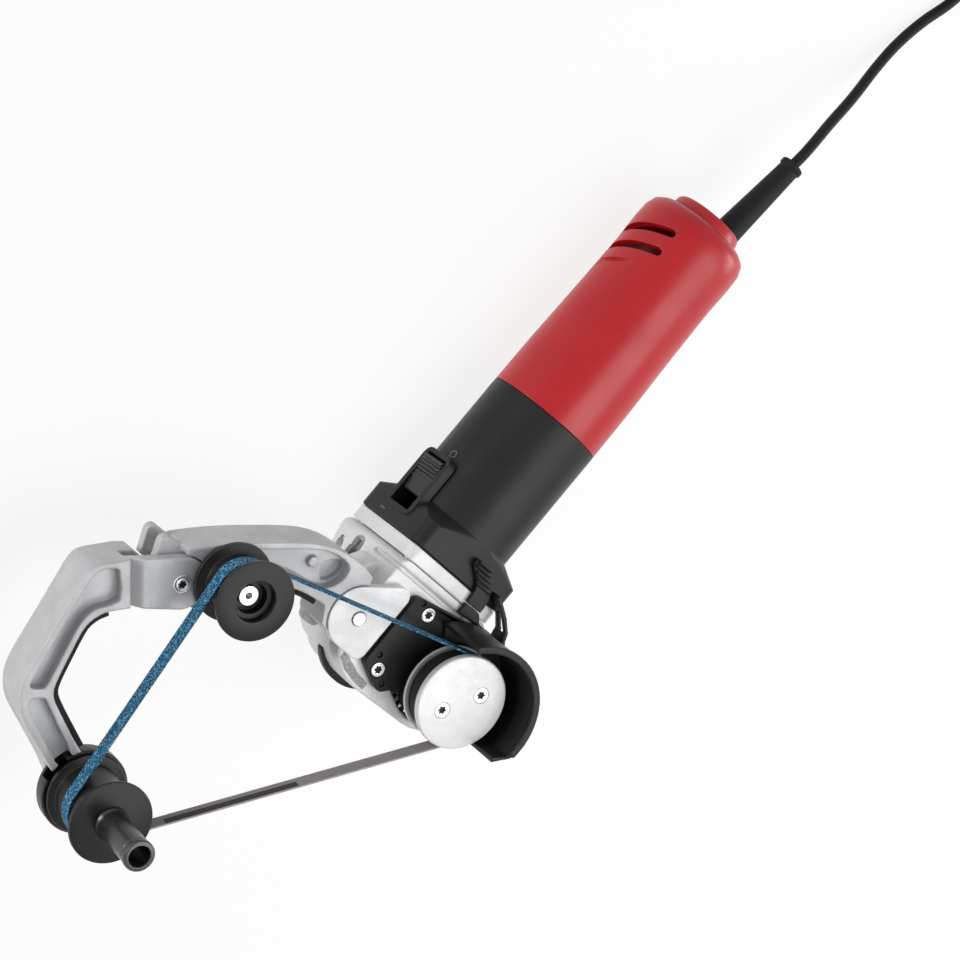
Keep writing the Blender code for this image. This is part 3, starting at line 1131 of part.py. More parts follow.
def c_arm(shop):
    """Cast C-arm with a forked hinge end, two front recesses and the roller's boss."""
    outer, inner = c_edges()
    boss = arc(ROLLER, ROLLER_BOSS_RADIUS, radians(140), radians(380), 14)
    knuckle = arc(HINGE, KNUCKLE_RADIUS, radians(222), radians(380), 14)
    outline = smooth(outer, 2, False) + boss + smooth(inner, 2, False) + knuckle
    arm = shop.slab("c_arm", outline, ARM_BACK, ARM_FRONT, "cast_alloy")
    for k, (low, high) in enumerate(ear_levels()):
        bottom = low - GAP if k == 0 else low - 1 * MM
        fork = shop.rod(f"hinge_fork_{k}", KNUCKLE_RADIUS + 7 * MM, bottom, high + GAP, None, HINGE,
                        ALONG_Z, 40)
        shop.cut(arm, fork)
    edge_in, edge_out = Vector(inner[-1]) * ARM_GRID, Vector(outer[0]) * ARM_GRID
    across = edge_out - edge_in
    wedge = [(0, ARM_FRONT - NOTCH_DEPTH), (0, ARM_FRONT + 1 * MM),
             (-1.35 * NOTCH_DEPTH, ARM_FRONT + 1 * MM)]
    beside = Matrix.Rotation(atan2(across.y, across.x), 4, "Z") @ ALONG_X
    notch = shop.slab("block_notch", wedge, -3 * MM, across.length + 3 * MM, None, (), (*edge_in, 0), beside)
    shop.cut(arm, notch)
    drop = shop.rod("roller_drop", CUP_RADIUS + 1.5 * MM, CUP_BASE - GAP, ARM_FRONT + 1 * MM, None, ROLLER,
                    ALONG_Z, 40)
    axle = shop.rod("axle_hole", ROLLER_AXLE_RADIUS + GAP, ARM_BACK + 1 * MM - GAP, ARM_FRONT, None,
                    ROLLER, ALONG_Z, 14)
    pin = shop.rod("hinge_hole", HINGE_RADIUS + GAP, ARM_BACK + 2 * MM, ARM_FRONT + 1 * MM, None, HINGE,
                   ALONG_Z, 14)
    long_tray = [(-66, 179.6), (-58.2, 172.2), (-60, 168), (-69.8, 158.6), (-79.7, 165.6), (-86.5, 167.6),
                 (-95, 167), (-110, 163.2), (-125.2, 159.4), (-128.6, 160.4), (-131.6, 165.3),
                 (-129.6, 167.8), (-115, 170.9), (-100.9, 173.6), (-80, 178)]
    short_tray = [(-137, 161.4), (-132.2, 156.2), (-133, 152.4), (-140, 137), (-147.2, 121.2),
                  (-155.6, 124.6), (-149, 141), (-142.6, 156)]
    first = shop.slab("long_recess", smooth(long_tray, 2), RECESS_FLOOR, ARM_FRONT + 1 * MM)
    second = shop.slab("short_recess", smooth(short_tray, 2), RECESS_FLOOR, ARM_FRONT + 1 * MM)
    shop.cut(arm, drop, axle, pin, first, second)
    shop.hang(arm, HINGE)
    edge = smooth(inner[1:-1], 2, False)
    shop.slab("c_arm_felt", band(edge, -GAP, -FELT_THICK), ARM_BACK + 2 * MM, ARM_FRONT - 2 * MM, "felt")
    length = ARM_DEPTH - 3 * MM + 1.2 * MM
    screw(shop, "hinge_screw", (*HINGE.xy, ARM_FRONT + 1.2 * MM), HINGE_RADIUS, 2 * MM, HINGE_RADIUS,
          length)


def belt_guard(shop):
    """Black hood round the drive pulley, with a back plate, a lip and a side web."""
    centre = (0, SPINDLE_Y)
    inner = GUARD_RADIUS - GUARD_WALL
    count = 24
    tail = [polar(0.85 * GUARD_RADIUS, GUARD_END - radians(17), centre)]
    outside = arc(centre, GUARD_RADIUS, GUARD_START, GUARD_END, count)
    inside = arc(centre, inner, GUARD_END - radians(1), GUARD_START, count)
    tail_in = [polar(0.85 * GUARD_RADIUS - GUARD_WALL, GUARD_END - radians(14), centre)]
    wall_line = outside + tail + tail_in + inside
    guard = shop.slab("belt_guard", wall_line, GUARD_BACK + 1 * MM, GUARD_TOP - 1 * MM, "black_coat")
    hub = SPINDLE_BEARING_RADIUS + 3 * MM
    rim = GUARD_RADIUS - GUARD_WALL / 2
    sheet = arc(centre, rim, GUARD_START - radians(0.5), GUARD_END, count)
    sheet += [polar(0.85 * GUARD_RADIUS - GUARD_WALL / 2, GUARD_END - radians(14), centre)]
    sheet += arc(centre, hub, GUARD_END - radians(12), GUARD_START - radians(0.5), 14)
    back = shop.slab("guard_sheet", sheet, GUARD_BACK, GUARD_BACK + 2 * MM)
    lip_out = arc(centre, GUARD_RADIUS + GUARD_LIP, GUARD_START + radians(0.5), GUARD_END + radians(2),
                  count)
    lip_in = arc(centre, inner - GUARD_LIP, GUARD_END + radians(2), GUARD_START + radians(0.5), count)
    lip = shop.slab("guard_lip", lip_out + lip_in, GUARD_TOP - 2.4 * MM, GUARD_TOP)
    shop.fuse(guard, back, lip)
    side_rib(shop, guard, centre)


def side_rib(shop, guard, centre):
    """Curved rib that stiffens the guard beside the latch, with a slot, and the latch's root."""
    low = FLARE_HALF_Z + GAP
    near = GUARD_RADIUS - 2 * MM
    path = [(near, -41.6 * MM), (near + 8 * MM, -39.8 * MM), (near + 13.6 * MM, -34 * MM),
            (near + 17.6 * MM, -27.8 * MM), (near + 20.6 * MM, -22.6 * MM)]
    rib = shop.slab("guard_rib", band(path, -RIB_WALL / 2, RIB_WALL / 2), low, low + RIB_HEIGHT)
    end = near + 32 * MM
    slant = [(low + RIB_HEIGHT - 1 * MM, near + 3.4 * MM), (low + 5 * MM, end), (low + 2 * RIB_HEIGHT, end),
             (low + 2 * RIB_HEIGHT, near + 3.4 * MM)]
    trim = shop.slab("rib_trim", slant, 2 * SPINDLE_Y, 0, None, (), (0, 0, 0), ALONG_Y)
    slot = shop.slab("rib_slot", [(low + 4 * MM, near + 7.5 * MM), (low + 3.2 * MM, near + 15 * MM),
                                  (low + 6 * MM, near + 15 * MM), (low + 9 * MM, near + 7.5 * MM)],
                     2 * SPINDLE_Y, 0, None, (), (0, 0, 0), ALONG_Y)
    shop.cut(rib, trim, slot)
    outer = GUARD_RADIUS + 0.5 * MM
    inner = GUARD_RADIUS - 0.9 * MM
    post_line = arc(centre, outer, radians(-8), radians(11), 8)
    post_line += arc(centre, inner, radians(11), radians(-8), 8)
    post = shop.slab("latch_post", post_line, low, GUARD_BACK + 3 * MM)
    step = LATCH_X - 2 * GAP
    root_line = [polar(inner + 0.4 * MM, radians(4), centre), (step, -23.6 * MM), (step, -12.2 * MM),
                 (step - 7.4 * MM, -12.2 * MM), (GUARD_RADIUS - 1.2 * MM, -22 * MM)]
    root = shop.slab("latch_root", root_line, low, low + LATCH_THICK)
    shop.fuse(guard, rib, post, root)


def guard_latch(shop):
    """Spring tab on the motor flare: it swings over to a ribbed thumb end with a lip."""
    low = FLARE_HALF_Z + GAP
    x = LATCH_X / MM
    left = [(x, -12.2), (x + 6, -11.6), (x + 10.4, -9.8), (x + 13.4, -6.6), (x + 15.6, -2.8), (x + 18, 0.6)]
    right = [(x + 22.4, -12), (x + 19.4, -14.6), (x + 15.4, -18.6), (x + 11.6, -21.4), (x + 7, -23.2),
             (x, -23.6)]
    outline = smooth(left, 2, False, MM) + [((x + 22) * MM, 0.6 * MM)] + smooth(right, 2, False, MM)
    latch = shop.slab("guard_latch", outline, low, low + LATCH_THICK, "black_nylon")
    lip = shop.box("latch_lip", ((x + 20.4) * MM, -11 * MM, low + 1 * MM),
                   ((x + 22) * MM, 0.4 * MM, low + LATCH_THICK + 3.4 * MM))
    shop.fuse(latch, lip)
    for k in range(4):
        start = (x + 10.8 + 2.4 * k) * MM
        inside, outside = (-19.5 + 2.2 * k) * MM, (-8.6 + 2.8 * k) * MM
        rib = shop.box(f"thumb_rib_{k}", (start, inside, low + 1 * MM),
                       (start + 1.1 * MM, min(outside, 0), low + LATCH_THICK + (0.7 + 0.7 * k) * MM))
        shop.fuse(latch, rib)
    shop.hang(latch, (LATCH_X, -18 * MM, low))


def cord(shop):
    """Sleeve on the rear cover, cord on the floor, coil and plug."""
    tip = BOOT_LENGTH
    hole = CORD_RADIUS + GAP
    profile = [(BOOT_TIP_RADIUS + 0.9 * MM, tip), (BOOT_TIP_RADIUS + 0.9 * MM, tip - 3 * MM),
               (BOOT_TIP_RADIUS, tip - 4 * MM), (BOOT_BASE_RADIUS, 2 * MM), (BOOT_BASE_RADIUS, -11 * MM),
               (hole, -11 * MM), (hole, tip)]
    shop.turned("cord_sleeve", profile, "rubber", boot_base(), boot_turn(), 18)
    ahead = Vector((cos(BOOT_SLANT), sin(BOOT_SLANT), 0))
    start = boot_base() - 10 * MM * ahead
    leave = boot_base() + (tip + 9 * MM) * ahead
    rest = FLOOR + CORD_RADIUS + GAP
    side = COIL_RADIUS + COIL_HALF_WIDTH + GAP + CORD_RADIUS
    middle = (COIL_X / MM, (COIL_Y - side) / MM)
    path = [start / MM, boot_base() / MM, (boot_base() + 0.5 * tip * ahead) / MM,
            (boot_base() + 0.95 * tip * ahead) / MM, leave / MM,
            (386, -26.5, -6), (408, -33, -14), (437, -40.5, -25.5),
            (455, -44.4, -29.8), (472, -48.4, rest / MM),
            (500, -59, rest / MM), (middle[0] - 28, middle[1] - 0.6, rest / MM),
            (*middle, rest / MM)]
    shop.tube("power_cord", smooth([tuple(p) for p in path], 4, False, MM), CORD_RADIUS, "rubber")
    bend = 2 * MM
    low, high = FLOOR + GAP, FLOOR + GAP + COIL_HEIGHT
    out, inn = COIL_RADIUS + COIL_HALF_WIDTH, COIL_RADIUS - COIL_HALF_WIDTH
    ring = [(out - bend, high), (out, high - bend), (out, low + bend), (out - bend, low), (inn + bend, low),
            (inn, low + bend), (inn, high - bend), (inn + bend, high)]
    shop.turned("cord_coil", ring, "rubber", (COIL_X, COIL_Y, 0), ALONG_Z, 28)
    plug(shop, high)


def plug(shop, shelf):
    """Two-pin plug that lies on top of the coil."""
    radius = PLUG_RADIUS
    tail = -PLUG_FROM_MIDDLE
    body = tail + PLUG_TAIL
    front = body + PLUG_LENGTH
    at = (COIL_X, COIL_Y + COIL_RADIUS, shelf + GAP + radius)
    across = Matrix.Rotation(pi, 4, "Z") @ ALONG_X
    profile = [(0, front), (radius, front), (radius, body + 8 * MM), (0.75 * radius, body),
               (0.5 * radius, tail + 1 * MM), (0.5 * radius, tail), (0, tail)]
    turned = across @ Matrix.Rotation(PLUG_TURN, 4, "Z")
    mains = shop.turned("mains_plug", profile, "rubber", at, turned, 16)
    for name, side in (("pin_left", 1), ("pin_right", -1)):
        place = (at[0], at[1] + side * 6 * MM, at[2])
        pin = shop.rod(name, 2 * MM, front - 4 * MM, front + PLUG_PIN_LENGTH, None, place, across, 10)
        shop.fuse(mains, pin)


def close_seams(shop):
    """Merge the points that meet where shapes were cut or fused."""
    for piece in shop.parts.objects:
        if any(step.type == "BOOLEAN" for step in piece.modifiers):
            weld = piece.modifiers.new("Weld", "WELD")
            weld.merge_threshold = 0.00002


def smooth_faces():
    """Shade the round faces smooth and keep the edges crisp."""
    for mesh in bpy.data.meshes:
        if mesh.polygons:
            mesh.polygons.foreach_set("use_smooth", [True] * len(mesh.polygons))
            mesh.set_sharp_from_angle(angle=radians(32))


def main():
    shop = Workshop()
    motor_housing(shop)
    rear_cover(shop)
    bearing_shield(shop)
    motor_inside(shop)
    slide_switch(shop)
    gear_train(shop)
    gear_head(shop)
    bearing_plate(shop)
    drive_pulley(shop)
    idler_wheel(shop)
    end_roller(shop)
    sanding_belt(shop)
    arm_root(shop)
    arch_arm(shop)
    c_arm(shop)
    belt_guard(shop)
    guard_latch(shop)
    cord(shop)
    close_seams(shop)
    smooth_faces()


main()
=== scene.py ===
"""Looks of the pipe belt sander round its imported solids: finishes, pieces, cord, light and camera.

Machine axes: the motor runs along +X to the rear, the drive pulley turns about +Z and the belt arms
reach out on the +Y side. Sizes in the classes are millimetres in machine axes.
"""

import json
import logging
from dataclasses import dataclass, field
from enum import Enum
from math import atan2, cos, hypot, pi, radians, sin
from typing import Sequence, Union

import bpy
from bpy.types import Material, Node, NodeSocket, NodeTree, Object
from mathutils import Matrix, Vector

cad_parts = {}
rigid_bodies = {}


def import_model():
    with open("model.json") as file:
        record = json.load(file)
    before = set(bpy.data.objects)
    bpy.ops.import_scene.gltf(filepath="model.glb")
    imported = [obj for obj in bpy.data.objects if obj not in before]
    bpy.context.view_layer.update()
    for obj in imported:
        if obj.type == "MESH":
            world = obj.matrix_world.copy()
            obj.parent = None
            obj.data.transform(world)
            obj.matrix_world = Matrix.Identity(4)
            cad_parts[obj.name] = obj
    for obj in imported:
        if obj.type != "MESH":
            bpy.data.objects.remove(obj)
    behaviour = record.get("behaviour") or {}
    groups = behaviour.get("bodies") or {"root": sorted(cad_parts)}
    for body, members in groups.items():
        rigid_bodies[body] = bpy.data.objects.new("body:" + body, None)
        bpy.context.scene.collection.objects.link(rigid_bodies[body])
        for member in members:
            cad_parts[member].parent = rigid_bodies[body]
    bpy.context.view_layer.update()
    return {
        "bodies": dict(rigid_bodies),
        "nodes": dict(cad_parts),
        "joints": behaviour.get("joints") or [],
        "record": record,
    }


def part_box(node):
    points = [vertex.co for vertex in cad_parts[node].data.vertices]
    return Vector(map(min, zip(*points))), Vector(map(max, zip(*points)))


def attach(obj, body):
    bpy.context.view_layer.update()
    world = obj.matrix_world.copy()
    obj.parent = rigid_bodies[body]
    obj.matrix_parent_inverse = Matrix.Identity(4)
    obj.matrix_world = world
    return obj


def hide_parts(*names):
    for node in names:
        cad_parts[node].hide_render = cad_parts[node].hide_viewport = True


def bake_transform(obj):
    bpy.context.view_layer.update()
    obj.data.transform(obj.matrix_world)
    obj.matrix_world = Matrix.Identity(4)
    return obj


LOG = logging.getLogger("pipe_belt_sander")
MM = 0.001
HOME = Vector((-56.5, -56.1, 35.2))
FLOOR_Z = -35.2
CRISP = 34.0
POLE_RADIUS = 1e-6
RING_MERGE = 4e-6
COPY_MERGE = 5e-6
COPY_FLAT = radians(0.4)
BUMP_STRENGTH = 0.6
EDGE_MATCH = (0.995, 0.8)
PALE_GRAIN = (0.24, 0.5, 0.62)
DARK_GRAIN = (0.003, 0.02, 0.05)
RESIN = (0.004, 0.03, 0.08)
WHITE = (1.0, 1.0, 1.0, 1.0)
ALONG_Z = Matrix.Identity(4)
ALONG_X = Matrix(((0, 0, 1, 0), (1, 0, 0, 0), (0, 1, 0, 0), (0, 0, 0, 1)))
ALONG_Y = Matrix(((0, 1, 0, 0), (0, 0, 1, 0), (1, 0, 0, 0), (0, 0, 0, 1)))

Colour = tuple[float, float, float]
Point2 = tuple[float, float]
Point3 = tuple[float, float, float]
Course = Sequence[tuple[Point2, Point2]]
Feed = Union[float, Sequence[float], NodeSocket]


def row(x: float, y: float, z: float) -> Vector:
    """A point in machine millimetres as a place in the row frame, in metres."""
    return (Vector((x, y, z)) + HOME) * MM


def at(x: float, y: float, z: float, along: Matrix = ALONG_Z) -> Matrix:
    """A place in machine millimetres with a direction."""
    return Matrix.Translation((x, y, z)) @ along


def ease(t: float) -> float:
    """A smooth step from 0 to 1."""
    t = min(1.0, max(0.0, t))
    return t * t * (3 - 2 * t)


def polar(radius: float, turn: float, centre: Sequence[float] = (0.0, 0.0)) -> Point2:
    """A point at a radius and a turn about a centre."""
    return centre[0] + radius * cos(turn), centre[1] + radius * sin(turn)


def arc(centre: Point2, radius: float, begin: float, end: float, count: int) -> list[Point2]:
    """Points along part of a circle, both ends included."""
    return [polar(radius, begin + (end - begin) * i / (count - 1), centre) for i in range(count)]


def rectangle(left: float, low: float, right: float, high: float) -> list[Point2]:
    """The four corners of a rectangle."""
    return [(left, low), (right, low), (right, high), (left, high)]


def ring(inner: float, outer: float, low: float, top: float, chamfer: float) -> list[Point2]:
    """Profile of a flat ring with a chamfered top."""
    return rectangle(inner, low, outer, top - chamfer)[:3] + [
        (outer - chamfer, top), (inner + chamfer, top), (inner, top - chamfer)]


def rib(radius: float, level: float, land: float, end: float, depth: float) -> list[Point2]:
    """Profile of one rib of a grip and of the groove behind it."""
    return [(radius, level), (radius, level + land), (radius - depth, level + land + 0.2),
            (radius - depth, level + end)]


def both_ends(half: Sequence[Point2], low: float, high: float) -> list[Point2]:
    """Profile of a wheel from (radius, depth) points that hold at its lower and upper end."""
    return [(r, low + d) for r, d in half] + [(r, high - d) for r, d in reversed(half)]


class Pattern(Enum):
    """What the grain of a finish looks like."""

    MOULDED = "moulded"
    CAST = "cast"
    FELTED = "felted"
    GRIT = "grit"
    WOVEN = "woven"
    STACKED = "stacked"


@dataclass(frozen=True)
class Finish:
    """One finish: its colours, its roughness and its grain's size and depth in millimetres."""

    name: str
    slot: str
    colour: Colour
    shade: Colour
    roughness: tuple[float, float]
    metallic: float = 0.0
    pattern: Pattern = Pattern.MOULDED
    grain: float = 0.5
    depth: float = 0.04
    cloud: float = 25.0
    edge: float = 0.4
    # How much lighter the edges are painted: partly rubbed wear, partly a painted highlight along
    # round edges.
    edge_wear_and_highlight: float = 0.0
    sheen: float = 0.0
    specular: float = 0.5


BLACK_NYLON = Finish(
    "black_nylon", "black_nylon", (0.0105, 0.0107, 0.0112), (0.014, 0.0143, 0.015), (0.36, 0.46),
    grain=0.35, depth=0.025, edge_wear_and_highlight=0.02, specular=0.22)
RED_NYLON = Finish(
    "red_nylon", "red_nylon", (0.55, 0.0075, 0.0145), (0.49, 0.006, 0.0115), (0.3, 0.4),
    grain=0.3, depth=0.012, edge_wear_and_highlight=0.04, edge=0.7, specular=0.45)
# Grey of the slide switch and coil ties: its edges are painted much lighter, a painted highlight
# along the slider's ribs.
GREY_NYLON = Finish(
    "grey_nylon", "grey_nylon", (0.017, 0.0175, 0.0185), (0.024, 0.0247, 0.026), (0.34, 0.44),
    grain=0.4, depth=0.03, edge_wear_and_highlight=0.3, edge=0.45, specular=0.3)
CAST_ALLOY = Finish(
    "cast_alloy", "cast_alloy", (0.57, 0.573, 0.582), (0.5, 0.503, 0.513), (0.4, 0.54),
    metallic=0.15, pattern=Pattern.CAST, grain=0.55, depth=0.05, cloud=12.0, edge=0.5, edge_wear_and_highlight=0.14)
HEAD_ALLOY = Finish(
    "head_alloy", "cast_alloy", (0.86, 0.862, 0.868), (0.78, 0.783, 0.79), (0.4, 0.54),
    metallic=0.15, pattern=Pattern.CAST, grain=0.55, depth=0.05, cloud=12.0, edge=0.5, edge_wear_and_highlight=0.08)
BARE_ALLOY = Finish(
    "bare_alloy", "bare_alloy", (0.86, 0.863, 0.868), (0.79, 0.793, 0.8), (0.34, 0.46),
    metallic=0.15, pattern=Pattern.CAST, grain=0.5, depth=0.03, cloud=6.0, edge=0.4, edge_wear_and_highlight=0.05)
BLACK_COAT = Finish(
    "black_coat", "black_metal", (0.012, 0.0122, 0.013), (0.018, 0.0185, 0.0195), (0.3, 0.42),
    grain=0.5, depth=0.02, edge_wear_and_highlight=0.03, specular=0.16)
# Wheel black: its edges are painted much lighter, painted highlight lines along the flange rims.
BLACK_WHEEL = Finish(
    "black_wheel", "black_wheel", (0.012, 0.0122, 0.013), (0.018, 0.0185, 0.0195), (0.28, 0.4),
    grain=0.6, depth=0.02, edge_wear_and_highlight=0.3, edge=0.4, specular=0.2)
# Knob black: its edges are painted lighter, a painted highlight along the knob.
BLACK_KNOB = Finish(
    "black_knob", "black_wheel", (0.016, 0.0163, 0.017), (0.022, 0.0225, 0.0235), (0.22, 0.32),
    grain=0.6, depth=0.02, edge_wear_and_highlight=0.2, edge=0.4, specular=0.7)
STEEL = Finish(
    "steel", "steel", (0.63, 0.64, 0.66), (0.5, 0.51, 0.53), (0.24, 0.36),
    metallic=0.85, grain=0.3, depth=0.012, cloud=8.0, edge=0.25, edge_wear_and_highlight=0.1)
DARK_STEEL = Finish(
    "dark_steel", "dark_steel", (0.2, 0.2, 0.21), (0.14, 0.14, 0.15), (0.34, 0.46),
    metallic=0.9, grain=0.4, depth=0.02, cloud=8.0)
CORE_STEEL = Finish(
    "core_steel", "core_steel", (0.36, 0.36, 0.37), (0.26, 0.26, 0.27), (0.4, 0.55),
    metallic=0.8, pattern=Pattern.STACKED, grain=1.0, depth=0.12, cloud=9.0)
COPPER = Finish(
    "copper", "copper", (0.7, 0.32, 0.16), (0.52, 0.2, 0.09), (0.28, 0.42),
    metallic=0.95, pattern=Pattern.STACKED, grain=1.4, depth=0.15, cloud=8.0)
RUBBER = Finish(
    "rubber", "rubber", (0.011, 0.0112, 0.0118), (0.016, 0.0163, 0.017), (0.45, 0.6),
    grain=0.5, depth=0.02, edge_wear_and_highlight=0.02, specular=0.14)
DRUM_RUBBER = Finish(
    "drum_rubber", "rubber", (0.02, 0.02, 0.021), (0.034, 0.0335, 0.0325), (0.6, 0.8),
    grain=0.8, depth=0.06, specular=0.2)
FELT = Finish(
    "felt", "felt", (0.012, 0.0122, 0.013), (0.05, 0.05, 0.052), (0.85, 0.98),
    pattern=Pattern.FELTED, grain=0.7, depth=0.35, edge=0.6, sheen=0.2, specular=0.15)
BLUE_GRIT = Finish(
    "blue_grit", "blue_grit", (0.01, 0.12, 0.27), (0.02, 0.2, 0.38), (0.6, 0.85),
    pattern=Pattern.GRIT, grain=0.65, depth=0.2, cloud=6.0, edge=0.2, specular=0.2)
BELT_BACKING = Finish(
    "belt_backing", "blue_grit", (0.58, 0.53, 0.53), (0.74, 0.7, 0.7), (0.7, 0.9),
    pattern=Pattern.WOVEN, grain=0.7, depth=0.1, cloud=16.0, edge=0.2, specular=0.2)
SPLICE = Finish(
    "splice", "blue_grit", (0.1, 0.09, 0.09), (0.2, 0.18, 0.18), (0.7, 0.9),
    pattern=Pattern.WOVEN, grain=0.7, depth=0.1, cloud=6.0, edge=0.2, specular=0.2)
SEAL = Finish(
    "seal", "felt", (0.28, 0.28, 0.285), (0.78, 0.78, 0.785), (0.85, 0.98),
    pattern=Pattern.FELTED, grain=0.7, depth=0.3, edge=0.3, specular=0.2)
PALE_MARK = Finish(
    "pale_mark", "grey_nylon", (0.12, 0.121, 0.124), (0.15, 0.152, 0.155), (0.45, 0.6),
    grain=0.4, depth=0.02, specular=0.25)


class Wiring:
    """Adds nodes to a node tree and joins their sockets."""

    mix_colours = (6, 7)
    mix_result = 2

    def __init__(self, tree: NodeTree) -> None:
        """Keep the tree that the nodes go into."""
        self.tree = tree

    def feed(self, node: Node, inputs: dict[Union[int, str], Feed]) -> Node:
        """Set or link some of a node's inputs.

        Args:
            node: the node.
            inputs: a value or a socket for each input, by its name or number.

        Returns:
            The node.
        """
        for label, value in inputs.items():
            if isinstance(value, NodeSocket):
                self.tree.links.new(value, node.inputs[label])
            else:
                node.inputs[label].default_value = value
        return node

    def add(self, kind: str, inputs: dict[Union[int, str], Feed], **settings: object) -> Node:
        """Add a shader node.

        Args:
            kind: its type, without the word ShaderNode in front.
            inputs: a value or a socket for each input, by its name or number.
            **settings: the node's own settings.

        Returns:
            The node.
        """
        node = self.tree.nodes.new(f"ShaderNode{kind}")
        for label, value in settings.items():
            setattr(node, label, value)
        return self.feed(node, inputs)

    def place(self, system: str) -> NodeSocket:
        """Texture coordinates of one system."""
        return self.add("TexCoord", {}).outputs[system]

    def math(self, operation: str, first: Feed, second: Feed) -> NodeSocket:
        """The result of an operation on two values."""
        return self.add("Math", {0: first, 1: second}, operation=operation).outputs["Value"]

    def mix(self, low: Feed, high: Feed, share: NodeSocket) -> NodeSocket:
        """Blend two colours.

        Args:
            low: the colour at share 0, a value or a socket.
            high: the colour at share 1, a value or a socket.
            share: the socket that blends them.

        Returns:
            The blended colour's socket.
        """
        inputs = {0: share}
        for number, side in zip(self.mix_colours, (low, high)):
            inputs[number] = side if isinstance(side, NodeSocket) else (*side, 1.0)
        return self.add("Mix", inputs, data_type="RGBA").outputs[self.mix_result]

    def span(self, value: NodeSocket, low: float, high: float,
             start: float = 0.3, stop: float = 0.7) -> NodeSocket:
        """Map a value between start and stop onto low to high.

        Args:
            value: the socket to map.
            low: the result at start.
            high: the result at stop.
            start: the value that gives low.
            stop: the value that gives high.

        Returns:
            The mapped socket.
        """
        node = self.add("MapRange", {"Value": value, "From Min": start, "From Max": stop,
                                     "To Min": low, "To Max": high})
        return node.outputs["Result"]


